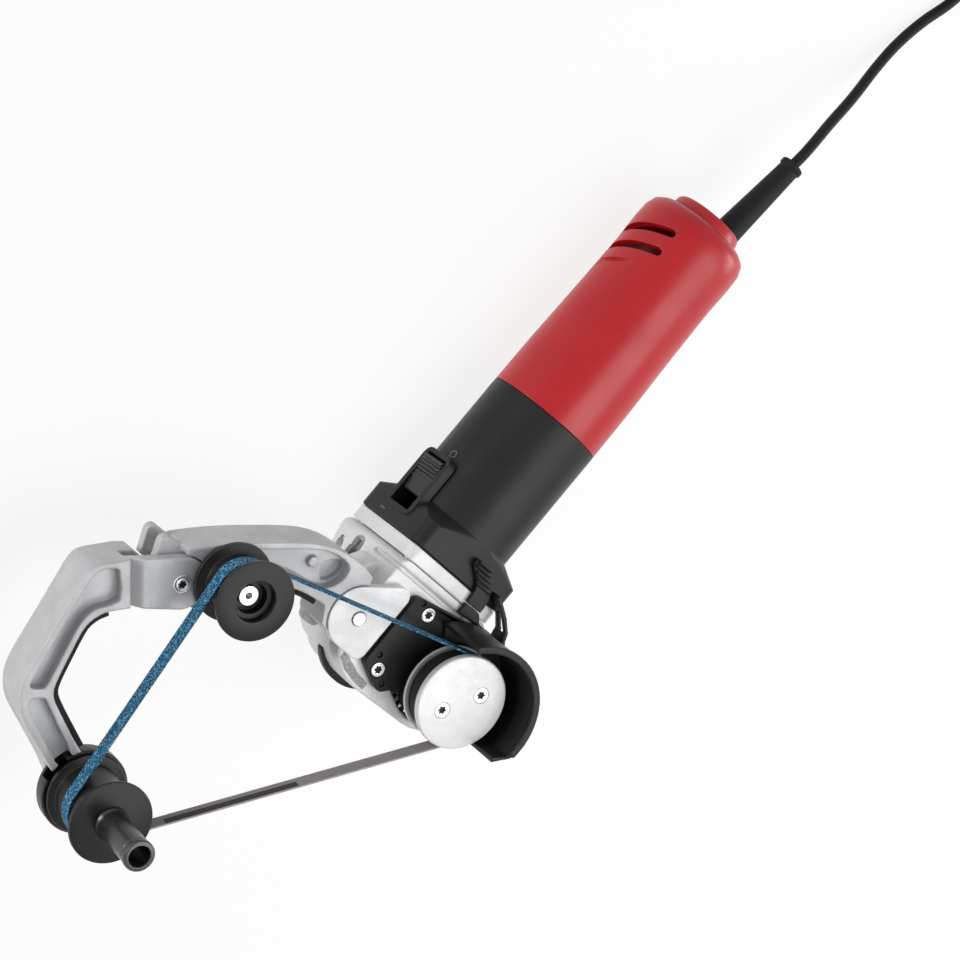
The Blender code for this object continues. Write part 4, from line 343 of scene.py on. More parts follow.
class PaintShop:
    """Builds the shared effects once, and one material for each finish."""

    def __init__(self) -> None:
        """Make the node groups that the materials share."""
        self.made: dict[str, Material] = {}
        self.edges = self._edge_group()
        self.grain = self._grain_group()

    @staticmethod
    def _group(name: str, inputs: dict[str, float],
               outputs: dict[str, str]) -> tuple[Wiring, Node, Node]:
        """An empty shader group.

        Args:
            name: the group's name.
            inputs: each float input with its first value.
            outputs: each output with its kind of socket.

        Returns:
            The group's wiring, its input node and its output node.
        """
        tree = bpy.data.node_groups.new(name, "ShaderNodeTree")
        sockets = tree.interface
        for label, value in inputs.items():
            socket = sockets.new_socket(name=label, in_out="INPUT", socket_type="NodeSocketFloat")
            socket.default_value = value
        for label, kind in outputs.items():
            sockets.new_socket(name=label, in_out="OUTPUT", socket_type=f"NodeSocket{kind}")
        start, end = tree.nodes.new("NodeGroupInput"), tree.nodes.new("NodeGroupOutput")
        return Wiring(tree), start, end

    def _edge_group(self) -> NodeTree:
        """Soft edges: a rounded normal and a mask of the edges.

        Returns:
            The group's node tree.
        """
        wires, start, end = self._group("soft_edges", {"Radius": 0.0004},
                                        {"Normal": "Vector", "Edge": "Float"})
        bevel = wires.add("Bevel", {"Radius": start.outputs["Radius"]}, samples=6)
        rounded = bevel.outputs["Normal"]
        flat = wires.add("NewGeometry", {}).outputs["Normal"]
        match = wires.add("VectorMath", {0: rounded, 1: flat}, operation="DOT_PRODUCT")
        edge = wires.span(match.outputs["Value"], 0.0, 1.0, *EDGE_MATCH)
        wires.feed(end, {"Normal": rounded, "Edge": edge})
        return wires.tree

    def _grain_group(self) -> NodeTree:
        """Fine grain and slow clouds on Object coordinates.

        Returns:
            The group's node tree.
        """
        scales = {"Grain Scale": 2000.0, "Cloud Scale": 40.0}
        wires, start, end = self._group("surface_grain", scales,
                                        {"Height": "Float", "Cloud": "Float"})
        where = wires.place("Object")
        for scale, target, detail in zip(scales, ("Height", "Cloud"), (3.0, 5.0)):
            noise = wires.add("TexNoise", {"Vector": where, "Scale": start.outputs[scale],
                                           "Detail": detail})
            wires.feed(end, {target: noise.outputs["Fac"]})
        return wires.tree

    def material(self, finish: Finish) -> Material:
        """The material of a finish, built on first use.

        Args:
            finish: the finish to build.

        Returns:
            The material.
        """
        if finish.name in self.made:
            return self.made[finish.name]
        paint = bpy.data.materials.new(finish.name)
        paint.use_nodes = True
        wires = Wiring(paint.node_tree)
        grain = wires.add("Group", {}, node_tree=self.grain)
        wires.feed(grain, {"Grain Scale": 1 / (finish.grain * MM),
                           "Cloud Scale": 1 / (finish.cloud * MM)})
        soft = wires.add("Group", {}, node_tree=self.edges)
        wires.feed(soft, {"Radius": finish.edge * MM})
        cloud = grain.outputs["Cloud"]
        colour = wires.mix(finish.colour, finish.shade, wires.span(cloud, 0.0, 1.0))
        colour, height = self._pattern(wires, finish, colour, grain.outputs["Height"])
        # Edges are painted lighter over the edge mask: partly rubbed wear, partly a painted
        # highlight along round edges.
        if finish.edge_wear_and_highlight > 0:
            bright = [min(1.0, c + finish.edge_wear_and_highlight) for c in finish.colour]
            colour = wires.mix(colour, bright, soft.outputs["Edge"])
        bump = wires.add("Bump", {"Strength": BUMP_STRENGTH, "Distance": finish.depth * MM,
                                  "Height": height, "Normal": soft.outputs["Normal"]})
        wires.feed(paint.node_tree.nodes["Principled BSDF"], {
            "Base Color": colour, "Roughness": wires.span(cloud, *finish.roughness),
            "Normal": bump.outputs["Normal"], "Metallic": finish.metallic,
            "Sheen Weight": finish.sheen, "Specular IOR Level": finish.specular})
        self.made[finish.name] = paint
        return paint

    def _pattern(self, wires: Wiring, finish: Finish, colour: NodeSocket,
                 height: NodeSocket) -> tuple[NodeSocket, NodeSocket]:
        """Add what is special to a finish's pattern.

        Args:
            wires: the material's wiring.
            finish: the finish being built.
            colour: the colour so far.
            height: the bump height so far.

        Returns:
            The colour and height with the pattern in them.
        """
        if finish.pattern is Pattern.GRIT:
            return self._grit(wires, finish, colour)
        if finish.pattern is Pattern.WOVEN:
            return self._weave(wires, finish, colour)
        if finish.pattern is Pattern.STACKED:
            bands = wires.add("TexWave", {"Vector": wires.place("Object"),
                                          "Scale": 0.3 / (finish.grain * MM)}, bands_direction="X")
            return colour, bands.outputs["Fac"]
        if finish.pattern is Pattern.CAST:
            dull = [0.9 * c for c in finish.shade]
            return wires.mix(dull, colour, wires.span(height, 0.0, 1.0, 0.36, 0.46)), height
        if finish.pattern is Pattern.FELTED:
            fibre = wires.span(height, 0.0, 1.0, 0.4, 0.7)
            return wires.mix(finish.colour, finish.shade, fibre), height
        return colour, height

    @staticmethod
    def _grit(wires: Wiring, finish: Finish, colour: NodeSocket) -> tuple[NodeSocket, NodeSocket]:
        """Abrasive grains: small cells of different blues with dark resin between them.

        Args:
            wires: the material's wiring.
            finish: the finish being built.
            colour: the colour so far.

        Returns:
            The colour and the bump height of the grains.
        """
        cells = wires.add("TexVoronoi", {"Vector": wires.place("Object"),
                                         "Scale": 1 / (finish.grain * MM)})
        chance = wires.add("SeparateColor", {"Color": cells.outputs["Color"]}).outputs
        height = cells.outputs["Distance"]
        for value, tint, most, start, stop in (
                (chance["Red"], PALE_GRAIN, 1.0, 0.56, 0.86),
                (chance["Green"], DARK_GRAIN, 0.9, 0.62, 0.88),
                (height, RESIN, 1.0, 0.5, 0.8)):
            colour = wires.mix(colour, tint, wires.span(value, 0.0, most, start, stop))
        return colour, height

    @staticmethod
    def _weave(wires: Wiring, finish: Finish, colour: NodeSocket) -> tuple[NodeSocket, NodeSocket]:
        """Cloth: threads along and across a belt on its own UV map, in millimetres.

        Args:
            wires: the material's wiring.
            finish: the finish being built.
            colour: the colour so far.

        Returns:
            The colour and the bump height of the cloth.
        """
        where = wires.place("UV")
        threads = []
        for direction, scale in (("X", 0.55), ("Y", 0.75)):
            wave = wires.add("TexWave", {"Vector": where, "Distortion": 0.8,
                                         "Scale": scale / finish.grain}, bands_direction=direction)
            threads.append(wave.outputs["Fac"])
        height = wires.math("MULTIPLY", *threads)
        dark = [0.45 * c for c in finish.colour]
        return wires.mix(dark, colour, wires.span(height, 0.2, 1.0)), height


@dataclass(frozen=True)
class ScrewForm:
    """Head and socket of a screw, in millimetres."""

    rise: float
    shank: float
    socket: float
    depth: float = 1.8
    lobed: bool = True
    sunk: bool = False
    forward: bool = False

    def profile(self, head: float, length: float) -> list[Point2]:
        """The screw's profile from the shank's end up to the head's face, at height 0.

        Args:
            head: the head's radius.
            length: the screw's whole length.

        Returns:
            (radius, height) points.
        """
        rim = [(head, -0.25), (head - 0.12, 0)]
        if not self.sunk:
            rim = [(head - 0.15, -self.rise), (head, 0.15 - self.rise), (head, -0.5),
                   (head - 0.2, -0.14), (head - 0.5, 0)]
        dish = [(head - 0.9, 0), (head - 1.15, -0.25), (0, -0.25)]
        return [(0, -length), (self.shank, -length), (self.shank, -self.rise), *rim, *dish]

    def outline(self, scale: float = 1.0) -> list[Point2]:
        """The socket's outline: six round lobes or a hexagon.

        Args:
            scale: its size as a share of the socket's.

        Returns:
            The outline's points.
        """
        size = scale * self.socket
        if not self.lobed:
            return [polar(size, k * pi / 3) for k in range(6)]
        turns = [2 * pi * k / 48 for k in range(48)]
        return [polar(size * (0.85 + 0.15 * cos(6 * t)), t) for t in turns]


class Bench:
    """The modelling moves, made with Blender's operators, and the fitting of pieces to bodies."""

    def __init__(self, frame: dict, paints: PaintShop) -> None:
        """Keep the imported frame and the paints.

        Args:
            paints: the paint shop.
        """
        self.nodes: dict[str, Object] = frame["nodes"]
        self.paints = paints
        groups = frame["record"]["behaviour"]["bodies"]
        self.body_of = {node: body for body, members in groups.items() for node in members}
        parts = frame["record"]["subparts"]
        self.slot_of = {part["node"]: part["material_slot"] for part in parts}

    @staticmethod
    def box(node: str) -> tuple[Vector, Vector]:
        """Lowest and highest corner of a CAD node in machine millimetres."""
        low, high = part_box(node)
        return low / MM - HOME, high / MM - HOME

    def reach(self, node: str) -> Point3:
        """Radius, lowest level and highest level of a CAD node that stands along Z."""
        low, high = self.box(node)
        return (high.x - low.x) / 2, low.z, high.z

    def axis(self, node: str, level: float = 0.0) -> Matrix:
        """The place of a CAD node's own Z axis at a level."""
        low, high = self.box(node)
        return at((low.x + high.x) / 2, (low.y + high.y) / 2, level)

    @staticmethod
    def clear() -> None:
        """Leave edit mode and deselect everything."""
        if bpy.context.mode != "OBJECT":
            bpy.ops.object.mode_set(mode="OBJECT")
        bpy.ops.object.select_all(action="DESELECT")

    def pick(self, *pieces: Object) -> None:
        """Select some pieces and make the first one active.

        Args:
            *pieces: the pieces to select.
        """
        self.clear()
        for piece in pieces:
            piece.select_set(True)
        bpy.context.view_layer.objects.active = pieces[0]

    @staticmethod
    def named(name: str) -> Object:
        """Name the object that was just made.

        Args:
            name: its name and its mesh's.

        Returns:
            The object.
        """
        piece = bpy.context.active_object
        piece.name = name
        piece.data.name = name
        return piece

    @staticmethod
    def open_mesh() -> None:
        """Go into edit mode with everything selected."""
        bpy.ops.object.mode_set(mode="EDIT")
        bpy.ops.mesh.select_all(action="SELECT")

    @staticmethod
    def close_mesh() -> None:
        """Turn all faces outwards and leave edit mode."""
        bpy.ops.mesh.select_all(action="SELECT")
        bpy.ops.mesh.normals_make_consistent(inside=False)
        bpy.ops.object.mode_set(mode="OBJECT")

    def smooth(self, piece: Object, angle: float = CRISP) -> Object:
        """Shade a piece smooth.

        Args:
            piece: the piece to shade.
            angle: edges sharper than this stay crisp, in degrees.

        Returns:
            The piece.
        """
        self.pick(piece)
        bpy.ops.object.shade_smooth_by_angle(angle=radians(angle))
        return piece

    def modify(self, piece: Object, kind: str, **values: object) -> Object:
        """Add a modifier, set its values and apply it.

        Args:
            piece: the piece to change.
            kind: the modifier's type.
            **values: the modifier's settings.

        Returns:
            The piece.
        """
        self.pick(piece)
        bpy.ops.object.modifier_add(type=kind)
        step = piece.modifiers[-1]
        for label, value in values.items():
            setattr(step, label, value)
        bpy.ops.object.modifier_apply(modifier=step.name)
        return piece

    def round_edges(self, piece: Object, width: float, limit: float = 40.0,
                    clamp: bool = False) -> Object:
        """Round a piece's edges.

        Args:
            piece: the piece to change.
            width: width of the rounding, in millimetres.
            limit: edges sharper than this are rounded, in degrees.
            clamp: whether the rounding stops where it meets another.

        Returns:
            The piece.
        """
        return self.modify(piece, "BEVEL", width=width * MM, segments=2, limit_method="ANGLE",
                           angle_limit=radians(limit), use_clamp_overlap=clamp)

    def cut(self, piece: Object, *cutters: Object) -> Object:
        """Cut a piece with others, which are used up.

        Args:
            piece: the piece to cut.
            *cutters: the pieces to cut out of it.

        Returns:
            The piece.
        """
        for cutter in cutters:
            self.modify(piece, "BOOLEAN", object=cutter, operation="DIFFERENCE", solver="EXACT")
            bpy.data.objects.remove(cutter, do_unlink=True)
        return piece

    def copy_of(self, node: str, angle: float = CRISP) -> Object:
        """A merged, smooth-shaded copy of a CAD node.

        Args:
            node: the node to copy.
            angle: edges sharper than this stay crisp, in degrees.

        Returns:
            The new piece.
        """
        self.pick(self.nodes[node])
        bpy.ops.object.duplicate()
        piece = self.named(f"{node}_fine")
        piece.parent = None
        for key in [k for k in piece.keys() if k.startswith("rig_")]:
            del piece[key]
        if piece.data.has_custom_normals:
            bpy.ops.mesh.customdata_custom_splitnormals_clear()
        self.open_mesh()
        bpy.ops.mesh.remove_doubles(threshold=COPY_MERGE)
        bpy.ops.mesh.dissolve_limited(angle_limit=COPY_FLAT)
        bpy.ops.object.mode_set(mode="OBJECT")
        return self.smooth(piece, angle)

    @staticmethod
    def stand(piece: Object, place: Matrix) -> None:
        """Move a piece's mesh from its own axes to its place in the row frame.

        Args:
            piece: the piece to move.
            place: where it stands, in machine millimetres.
        """
        shift = Matrix.Translation((place.translation + HOME) * MM)
        piece.data.transform(shift @ place.to_3x3().to_4x4())
        piece.data.update()

    def lathe(self, name: str, profile: Sequence[Point2], place: Matrix, count: int,
              closed: bool = False) -> Object:
        """Turn a profile: a circle is drawn out ring by ring along its axis.

        Args:
            name: the piece's name.
            profile: (radius, height) points in millimetres.
            place: where the axis stands, in machine millimetres.
            count: points round each ring.
            closed: whether the last ring joins the first.

        Returns:
            The new piece.
        """
        rings = [(max(r * MM, POLE_RADIUS), h * MM) for r, h in profile]
        if closed:
            rings.append(rings[0])
        self.clear()
        first, base = rings[0]
        bpy.ops.mesh.primitive_circle_add(vertices=count, radius=first, location=(0, 0, 0))
        piece = self.named(name)
        self.open_mesh()
        bpy.ops.transform.translate(value=(0, 0, base))
        for (old, low), (new, high) in zip(rings, rings[1:]):
            bpy.ops.mesh.extrude_edges_move(TRANSFORM_OT_translate={"value": (0, 0, high - low)})
            bpy.ops.transform.resize(value=(new / old, new / old, 1), center_override=(0, 0, high))
        bpy.ops.mesh.select_all(action="SELECT")
        bpy.ops.mesh.remove_doubles(threshold=RING_MERGE)
        self.close_mesh()
        self.stand(piece, place)
        return self.smooth(piece)

    def slab(self, name: str, outline: Sequence[Point2], low: float, high: float,
             place: Matrix = ALONG_Z, bevel: float = 0.0) -> Object:
        """Draw out a flat outline and round its rims.

        Args:
            name: the piece's name.
            outline: points in millimetres.
            low: height of its back.
            high: height of its front.
            place: where the outline lies, in machine millimetres.
            bevel: width of the rounded rims.

        Returns:
            The new piece.
        """
        self.clear()
        bpy.ops.mesh.primitive_circle_add(vertices=len(outline), radius=1, fill_type="NGON",
                                          location=(0, 0, 0))
        piece = self.named(name)
        for vertex, (x, y) in zip(piece.data.vertices, outline):
            vertex.co = Vector((x, y, low)) * MM
        self.open_mesh()
        lift = (0, 0, (high - low) * MM)
        bpy.ops.mesh.extrude_region_move(TRANSFORM_OT_translate={"value": lift})
        self.close_mesh()
        if bevel > 0:
            self.round_edges(piece, bevel, 50.0, True)
        self.stand(piece, place)
        return self.smooth(piece)

    def dress(self, piece: Object, finish: Finish) -> Object:
        """Give a piece one finish all over.

        Args:
            piece: the piece to dress.
            finish: its finish.

        Returns:
            The piece.
        """
        piece.data.materials.clear()
        piece.data.materials.append(self.paints.material(finish))
        return piece

    def fit(self, piece: Object, body: str, finish: Finish, *nodes: str) -> Object:
        """Dress a piece, let it ride on a body and stand for CAD nodes.

        Args:
            piece: the finished piece.
            body: the body that it moves with.
            finish: its finish.
            *nodes: the CAD nodes that it stands for.

        Returns:
            The piece.
        """
        self.dress(piece, finish)
        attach(piece, body)
        if nodes:
            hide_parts(*nodes)
        LOG.info("%s rides on %s", piece.name, body)
        return piece

    def refine(self, node: str, finish: Finish, angle: float = CRISP, rim: float = 0.0) -> Object:
        """Put a merged and smooth copy of a CAD node in its place.

        Args:
            node: the node to stand for.
            finish: the copy's finish.
            angle: edges sharper than this stay crisp, in degrees.
            rim: width of the rounded edges, in millimetres.

        Returns:
            The new piece.
        """
        piece = self.copy_of(node, angle)
        if rim > 0:
            self.smooth(self.round_edges(piece, rim), angle)
        return self.fit(piece, self.body_of[node], finish, node)

    def cast(self, node: str, finish: Finish, grid: float, passes: int,
             added: Sequence[Object] = (), removed: Sequence[Object] = ()) -> Object:
        """Put a copy of a CAD node with softly rounded edges in its place.

        Args:
            node: the node to stand for.
            finish: the copy's finish.
            grid: step of the fine skin, in millimetres.
            passes: how often the skin is smoothed.
            added: pieces that grow into the copy.
            removed: pieces that are cut out of it.

        Returns:
            The new piece.
        """
        piece = self.cut(self.copy_of(node), *removed)
        self.pick(piece, *added)
        bpy.ops.object.join()
        self.modify(piece, "REMESH", mode="VOXEL", voxel_size=grid * MM, use_smooth_shade=True)
        self.modify(piece, "SMOOTH", factor=0.5, iterations=passes)
        return self.fit(piece, self.body_of[node], finish, node)

    def turned(self, node: str, finish: Finish, profile: Sequence[Point2], count: int,
               *removed: Object) -> Object:
        """Put a finely turned piece in the place of a CAD node that stands along Z.

        Args:
            node: the node to stand for.
            finish: the piece's finish.
            profile: (radius, level) points in millimetres, as a closed loop.
            count: points round each ring.
            *removed: pieces that are cut out of it.

        Returns:
            The new piece.
        """
        piece = self.lathe(f"{node}_fine", profile, self.axis(node), count, True)
        self.smooth(self.cut(piece, *removed))
        return self.fit(piece, self.body_of[node], finish, node)

    def screw(self, node: str, form: ScrewForm) -> Object:
        """Put a steel screw with a real socket in the place of a CAD screw.

        Args:
            node: the CAD screw.
            form: its head and socket.

        Returns:
            The new piece.
        """
        low, high = self.box(node)
        mid = (low + high) / 2
        if form.forward:
            place = at(low.x, mid.y, mid.z, Matrix.Rotation(-pi / 2, 4, "Y"))
            length, head = high.x - low.x, (high.y - low.y) / 2
        else:
            place = at(mid.x, mid.y, high.z)
            length, head = high.z - low.z, (high.x - low.x) / 2
        depth = form.depth
        piece = self.lathe(f"{node}_fine", form.profile(head, length), place, 40)
        tool = self.slab(f"{node}_tool", form.outline(), -depth, 1.0, place)
        self.smooth(self.cut(piece, tool))
        # A black disc on the socket's floor: painted shade at the bottom of the recess.
        floor = self.slab(f"{node}_socket", form.outline(0.97), 0.05 - depth, 0.5 - depth, place)
        self.fit(floor, self.body_of[node], BLACK_COAT)
        return self.fit(piece, self.body_of[node], STEEL, node)


@dataclass(frozen=True)
class Lamp:
    """A round soft lamp: where it stands from the machine, in metres, its width and its watts."""

    name: str
    way: Point3
    distance: float
    size: float
    power: float


@dataclass
class Studio:
    """White floor, soft lights and the camera at the picture's angle."""

    camera_at: Point3 = (7.2, 872.3, 1228.4)
    camera_right: Point3 = (0.63751, -0.60605, 0.47570)
    camera_up: Point3 = (0.76792, 0.54974, -0.32876)
    focal_pixels: float = 2721.4
    frame_pixels: float = 960.0
    sensor: float = 36.0
    clip_end: float = 50.0
    target: Point3 = (60.0, 40.0, 20.0)
    lamps: tuple[Lamp, ...] = (
        Lamp("key", (0.1, -0.35, 0.93), 1.5, 1.4, 14.5),
        Lamp("side", (-0.35, 0.93, 0.0), 1.5, 0.6, 16.0),
        Lamp("rim", (0.6, -0.75, 0.3), 1.4, 0.5, 4.0))
    ambient: float = 0.22
    floor_size: float = 9.0
    floor_drop: float = 0.0004
    floor_grey: float = 0.9
    glow: Point2 = (1.05, 1.24)
    glow_reach: Point2 = (0.9, 2.6)
    glow_share: float = 0.8

    def build(self) -> None:
        """Make the camera, the lights, the world and the floor."""
        self._camera()
        self._lights()
        self._world()
        self._floor()
        bpy.context.scene.view_settings.view_transform = "Standard"

    def _camera(self) -> None:
        """Stand the camera where the picture was taken from."""
        data = bpy.data.cameras.new("camera")
        data.sensor_width = self.sensor
        data.lens = self.focal_pixels * self.sensor / self.frame_pixels
        data.clip_end = self.clip_end
        camera = bpy.data.objects.new("camera", data)
        bpy.context.scene.collection.objects.link(camera)
        right = Vector(self.camera_right).normalized()
        back = right.cross(Vector(self.camera_up)).normalized()
        up = back.cross(right)
        turn = Matrix((right, up, back)).transposed().to_4x4()
        camera.matrix_world = Matrix.Translation(row(*self.camera_at)) @ turn
        bpy.context.scene.camera = camera

    def _lights(self) -> None:
        """Soft lamps: a large one overhead, one on the arms' side and a low one opposite."""
        for form in self.lamps:
            data = bpy.data.lights.new(form.name, "AREA")
            data.shape = "DISK"
            data.size = form.size
            data.energy = form.power
            lamp = bpy.data.objects.new(form.name, data)
            bpy.context.scene.collection.objects.link(lamp)
            way = Vector(form.way).normalized()
            lamp.location = row(*self.target) + form.distance * way
            lamp.rotation_euler = way.to_track_quat("Z", "Y").to_euler()

    @staticmethod
    def _seen(wires: Wiring) -> NodeSocket:
        """Find the rays by which the camera sees a surface, straight, mirrored or through another.

        Args:
            wires: the wiring of the material or the world.

        Returns:
            A socket that is 1 for those rays.
        """
        rays = wires.add("LightPath", {}).outputs
        total = rays["Is Camera Ray"]
        for label in ("Is Glossy Ray", "Is Transmission Ray"):
            total = wires.math("MAXIMUM", total, rays[label])
        return total

    def _world(self) -> None:
        """Even light all round, and plain white where the view or a reflection passes the floor."""
        world = bpy.data.worlds.new("studio")
        bpy.context.scene.world = world
        world.use_nodes = True
        wires = Wiring(world.node_tree)
        ground = world.node_tree.nodes["Background"]
        wires.feed(ground, {"Color": WHITE, "Strength": self.ambient})
        white = wires.add("Background", {"Color": WHITE})
        mix = wires.add("MixShader", {"Fac": self._seen(wires), 1: ground.outputs["Background"],
                                      2: white.outputs["Background"]})
        wires.feed(world.node_tree.nodes["World Output"], {"Surface": mix.outputs["Shader"]})

    def _floor(self) -> None:
        """A wide white floor that keeps a soft shadow and runs out into white further off."""
        Bench.clear()
        bpy.ops.mesh.primitive_plane_add(size=self.floor_size, location=(0, 0, -self.floor_drop))
        floor = Bench.named("floor")
        paint = bpy.data.materials.new("floor_white")
        paint.use_nodes = True
        wires = Wiring(paint.node_tree)
        grey = (self.floor_grey, self.floor_grey, self.floor_grey, 1.0)
        shader = wires.feed(paint.node_tree.nodes["Principled BSDF"], {
            "Base Color": grey, "Roughness": 0.9, "Specular IOR Level": 0.1})
        distance = wires.add("VectorMath", {0: wires.place("Object")}, operation="LENGTH")
        strength = wires.span(distance.outputs["Value"], *self.glow, *self.glow_reach)
        glow = wires.add("Emission", {"Strength": strength})
        share = wires.math("MULTIPLY", self._seen(wires), self.glow_share)
        mix = wires.add("MixShader", {"Fac": share, 1: shader.outputs["BSDF"],
                                      2: glow.outputs["Emission"]})
        wires.feed(paint.node_tree.nodes["Material Output"], {"Surface": mix.outputs["Shader"]})
        floor.data.materials.append(paint)


@dataclass
class MainsLead:
    """Cord from its sleeve over the floor into a tied coil, with the plug on top."""

    bench: Bench
    radius: float = 3.2
    gap: float = 0.3
    base: Point3 = (295.8, -13.3, 2.0)
    slant: float = radians(-6.2)
    sleeve: float = 56.0
    sleeve_root: float = 10.0
    sleeve_base: float = 8.1
    sleeve_tip: float = 6.2
    sleeve_hole: float = 3.4
    sleeve_rings: int = 12
    lead_out: float = 9.0
    drop: tuple[Point3, ...] = ((386.0, -26.5, -6.0), (408.0, -33.0, -14.0),
                                (437.0, -40.5, -25.5), (455.0, -44.6, -29.9))
    floor_way: tuple[Point2, ...] = ((474.0, -49.4), (500.0, -57.2))
    coil: Point2 = (558.0, -12.0)
    coil_radius: float = 37.6
    coil_entry: Point2 = (-30.0, 0.1)
    columns: int = 4
    layers: int = 5
    turns: float = 15.25
    length: float = 4000.0
    side_zone: float = radians(150)
    rise_zone: float = radians(90)
    tail_bend: float = 27.6
    tail_climb: float = 83.0
    plug_tail: float = 5.0
    plug_radius: float = 9.0
    plug_length: float = 34.0
    pin_length: float = 19.0
    pin_side: float = 6.0
    points_per_turn: int = 24
    tie_thick: float = 0.7
    tie_width: float = 8.0

    @property
    def rest(self) -> float:
        """Height of the cord's middle where it lies on the floor."""
        return FLOOR_Z + self.radius + self.gap

    @property
    def outer(self) -> float:
        """Radius of the coil's outermost turn."""
        return self.coil_radius + (self.columns - 1) * self.radius

    @property
    def plug_line(self) -> Point3:
        """Middle of the coil's band under the plug, at the height of the plug's axis."""
        top = FLOOR_Z + self.gap + 2 * self.radius * self.layers
        return self.coil[0], self.coil[1] + self.coil_radius, top + self.gap + self.plug_radius

    def free_run(self) -> list[Vector]:
        """Points from inside the sleeve, down to the floor and along it to the coil.

        Returns:
            The points in order.
        """
        ahead = Vector((cos(self.slant), sin(self.slant), 0))
        reach = [-self.sleeve_root, *(self.sleeve * k / 4 for k in range(5)),
                 self.sleeve + self.lead_out]
        points = [Vector(self.base) + d * ahead for d in reach]
        points += [Vector(point) for point in self.drop]
        x, y = self.coil_entry
        entry = (self.coil[0] + x, self.coil[1] - self.outer + y)
        return points + [Vector((*point, self.rest)) for point in (*self.floor_way, entry)]

    def winding(self) -> list[tuple[float, float, float, float]]:
        """Where the cord moves sideways or up in the coil.

        Returns:
            Begin angle, end angle, side step and climb of each move.
        """
        pitch = 2 * self.radius
        moves = []
        turn = pi
        for layer in range(self.layers):
            inward = -pitch if layer % 2 == 0 else pitch
            for k in range(self.columns - 1):
                begin = turn + 2 * pi * k
                moves.append((begin, begin + self.side_zone, inward, 0.0))
            climb = turn + 2 * pi * (self.columns - 1) - self.rise_zone
            moves.append((climb, climb + self.rise_zone, 0.0, pitch))
            turn = climb + 2 * pi - self.side_zone
        return moves

    def coil_turns(self) -> list[Vector]:
        """Points of the coil: each layer is wound in or out, and a short climb leads to the next.

        Returns:
            The points in order.
        """
        count = int(self.turns * self.points_per_turn)
        moves = self.winding()
        points = []
        for k in range(count + 1):
            angle = 2 * pi * self.turns * k / count
            radius, height = self.outer, self.rest
            for begin, end, side, rise in moves:
                share = ease((angle - begin) / (end - begin))
                radius += side * share
                height += rise * share
            points.append(Vector((*polar(radius, angle - pi / 2, self.coil), height)))
        return points

    def tail_run(self, last: Vector) -> list[Vector]:
        """The cord's end, bent round into the plug's tail.

        Args:
            last: the coil's last point.

        Returns:
            The points in order.
        """
        x, y, _ = self.plug_line
        bend = self.tail_bend
        middle = (last.x - bend, y - bend)
        line = [(last.x, 0.5 * (last.y + middle[1])), *arc(middle, bend, 0.0, pi / 2, 6)]
        line += [(x + self.plug_tail, y), (x + self.plug_tail - 6, y)]
        return [Vector((*point, last.z)) for point in line]

    def route(self) -> list[Vector]:
        """The whole cord: free run, coil, and a tail that climbs into the plug.

        Returns:
            The points in order.
        """
        points = self.free_run() + self.coil_turns()
        points += self.tail_run(points[-1])
        rise = self.plug_line[2] - points[-1].z
        left = 0.0
        raised = [points[-1] + Vector((0, 0, rise))]
        for here, ahead in zip(points[-2::-1], points[::-1]):
            left += (ahead - here).length
            climbed = rise * ease((self.tail_climb - left) / self.tail_climb)
            raised.append(here + Vector((0, 0, climbed)))
        return raised[::-1]

    def build(self) -> None:
        """Make the cord, its sleeve, the ties and the plug."""
        points = self.route()
        data = bpy.data.curves.new("mains_cord", "CURVE")
        data.dimensions = "3D"
        data.bevel_depth = self.radius * MM
        data.bevel_resolution = 5
        data.resolution_u = 6
        data.use_fill_caps = True
        line = data.splines.new("BEZIER")
        line.bezier_points.add(len(points) - 1)
        for knot, point in zip(line.bezier_points, points):
            knot.co = row(*point)
            knot.handle_left_type = "AUTO"
            knot.handle_right_type = "AUTO"
        cord = bpy.data.objects.new("mains_cord", data)
        bpy.context.scene.collection.objects.link(cord)
        self.bench.fit(cord, "machine", RUBBER, "power_cord", "cord_coil")
        plug = self._plug()
        ties = self._ties()
        measure = sum((b - a).length for a, b in zip(points, points[1:]))
        LOG.info("cord measures %.3f m", measure * MM)
        self._sleeve()

    def _sleeve(self) -> None:
        """Tapered sleeve with a rim at its tip."""
        tip, base, hole, end = self.sleeve_tip, self.sleeve_base, self.sleeve_hole, self.sleeve
        foot = -self.sleeve_root - 0.9
        profile = [(hole, end), (tip + 0.4, end), (tip + 0.9, end - 0.5), (tip + 0.9, end - 2.6),
                   (tip + 0.5, end - 3.2), (tip, end - 3.8)]
        for k in range(1, self.sleeve_rings):
            share = k / self.sleeve_rings
            profile.append((tip + (base - tip) * share, end - 3.8 - (end - 5.8) * share))
        profile += [(base, 2.0), (base, foot), (hole, foot)]
        place = at(*self.base, Matrix.Rotation(self.slant, 4, "Z") @ ALONG_X)
        piece = self.bench.lathe("cord_sleeve_fine", profile, place, 48, True)
        self.bench.fit(piece, "machine", RUBBER, "cord_sleeve")

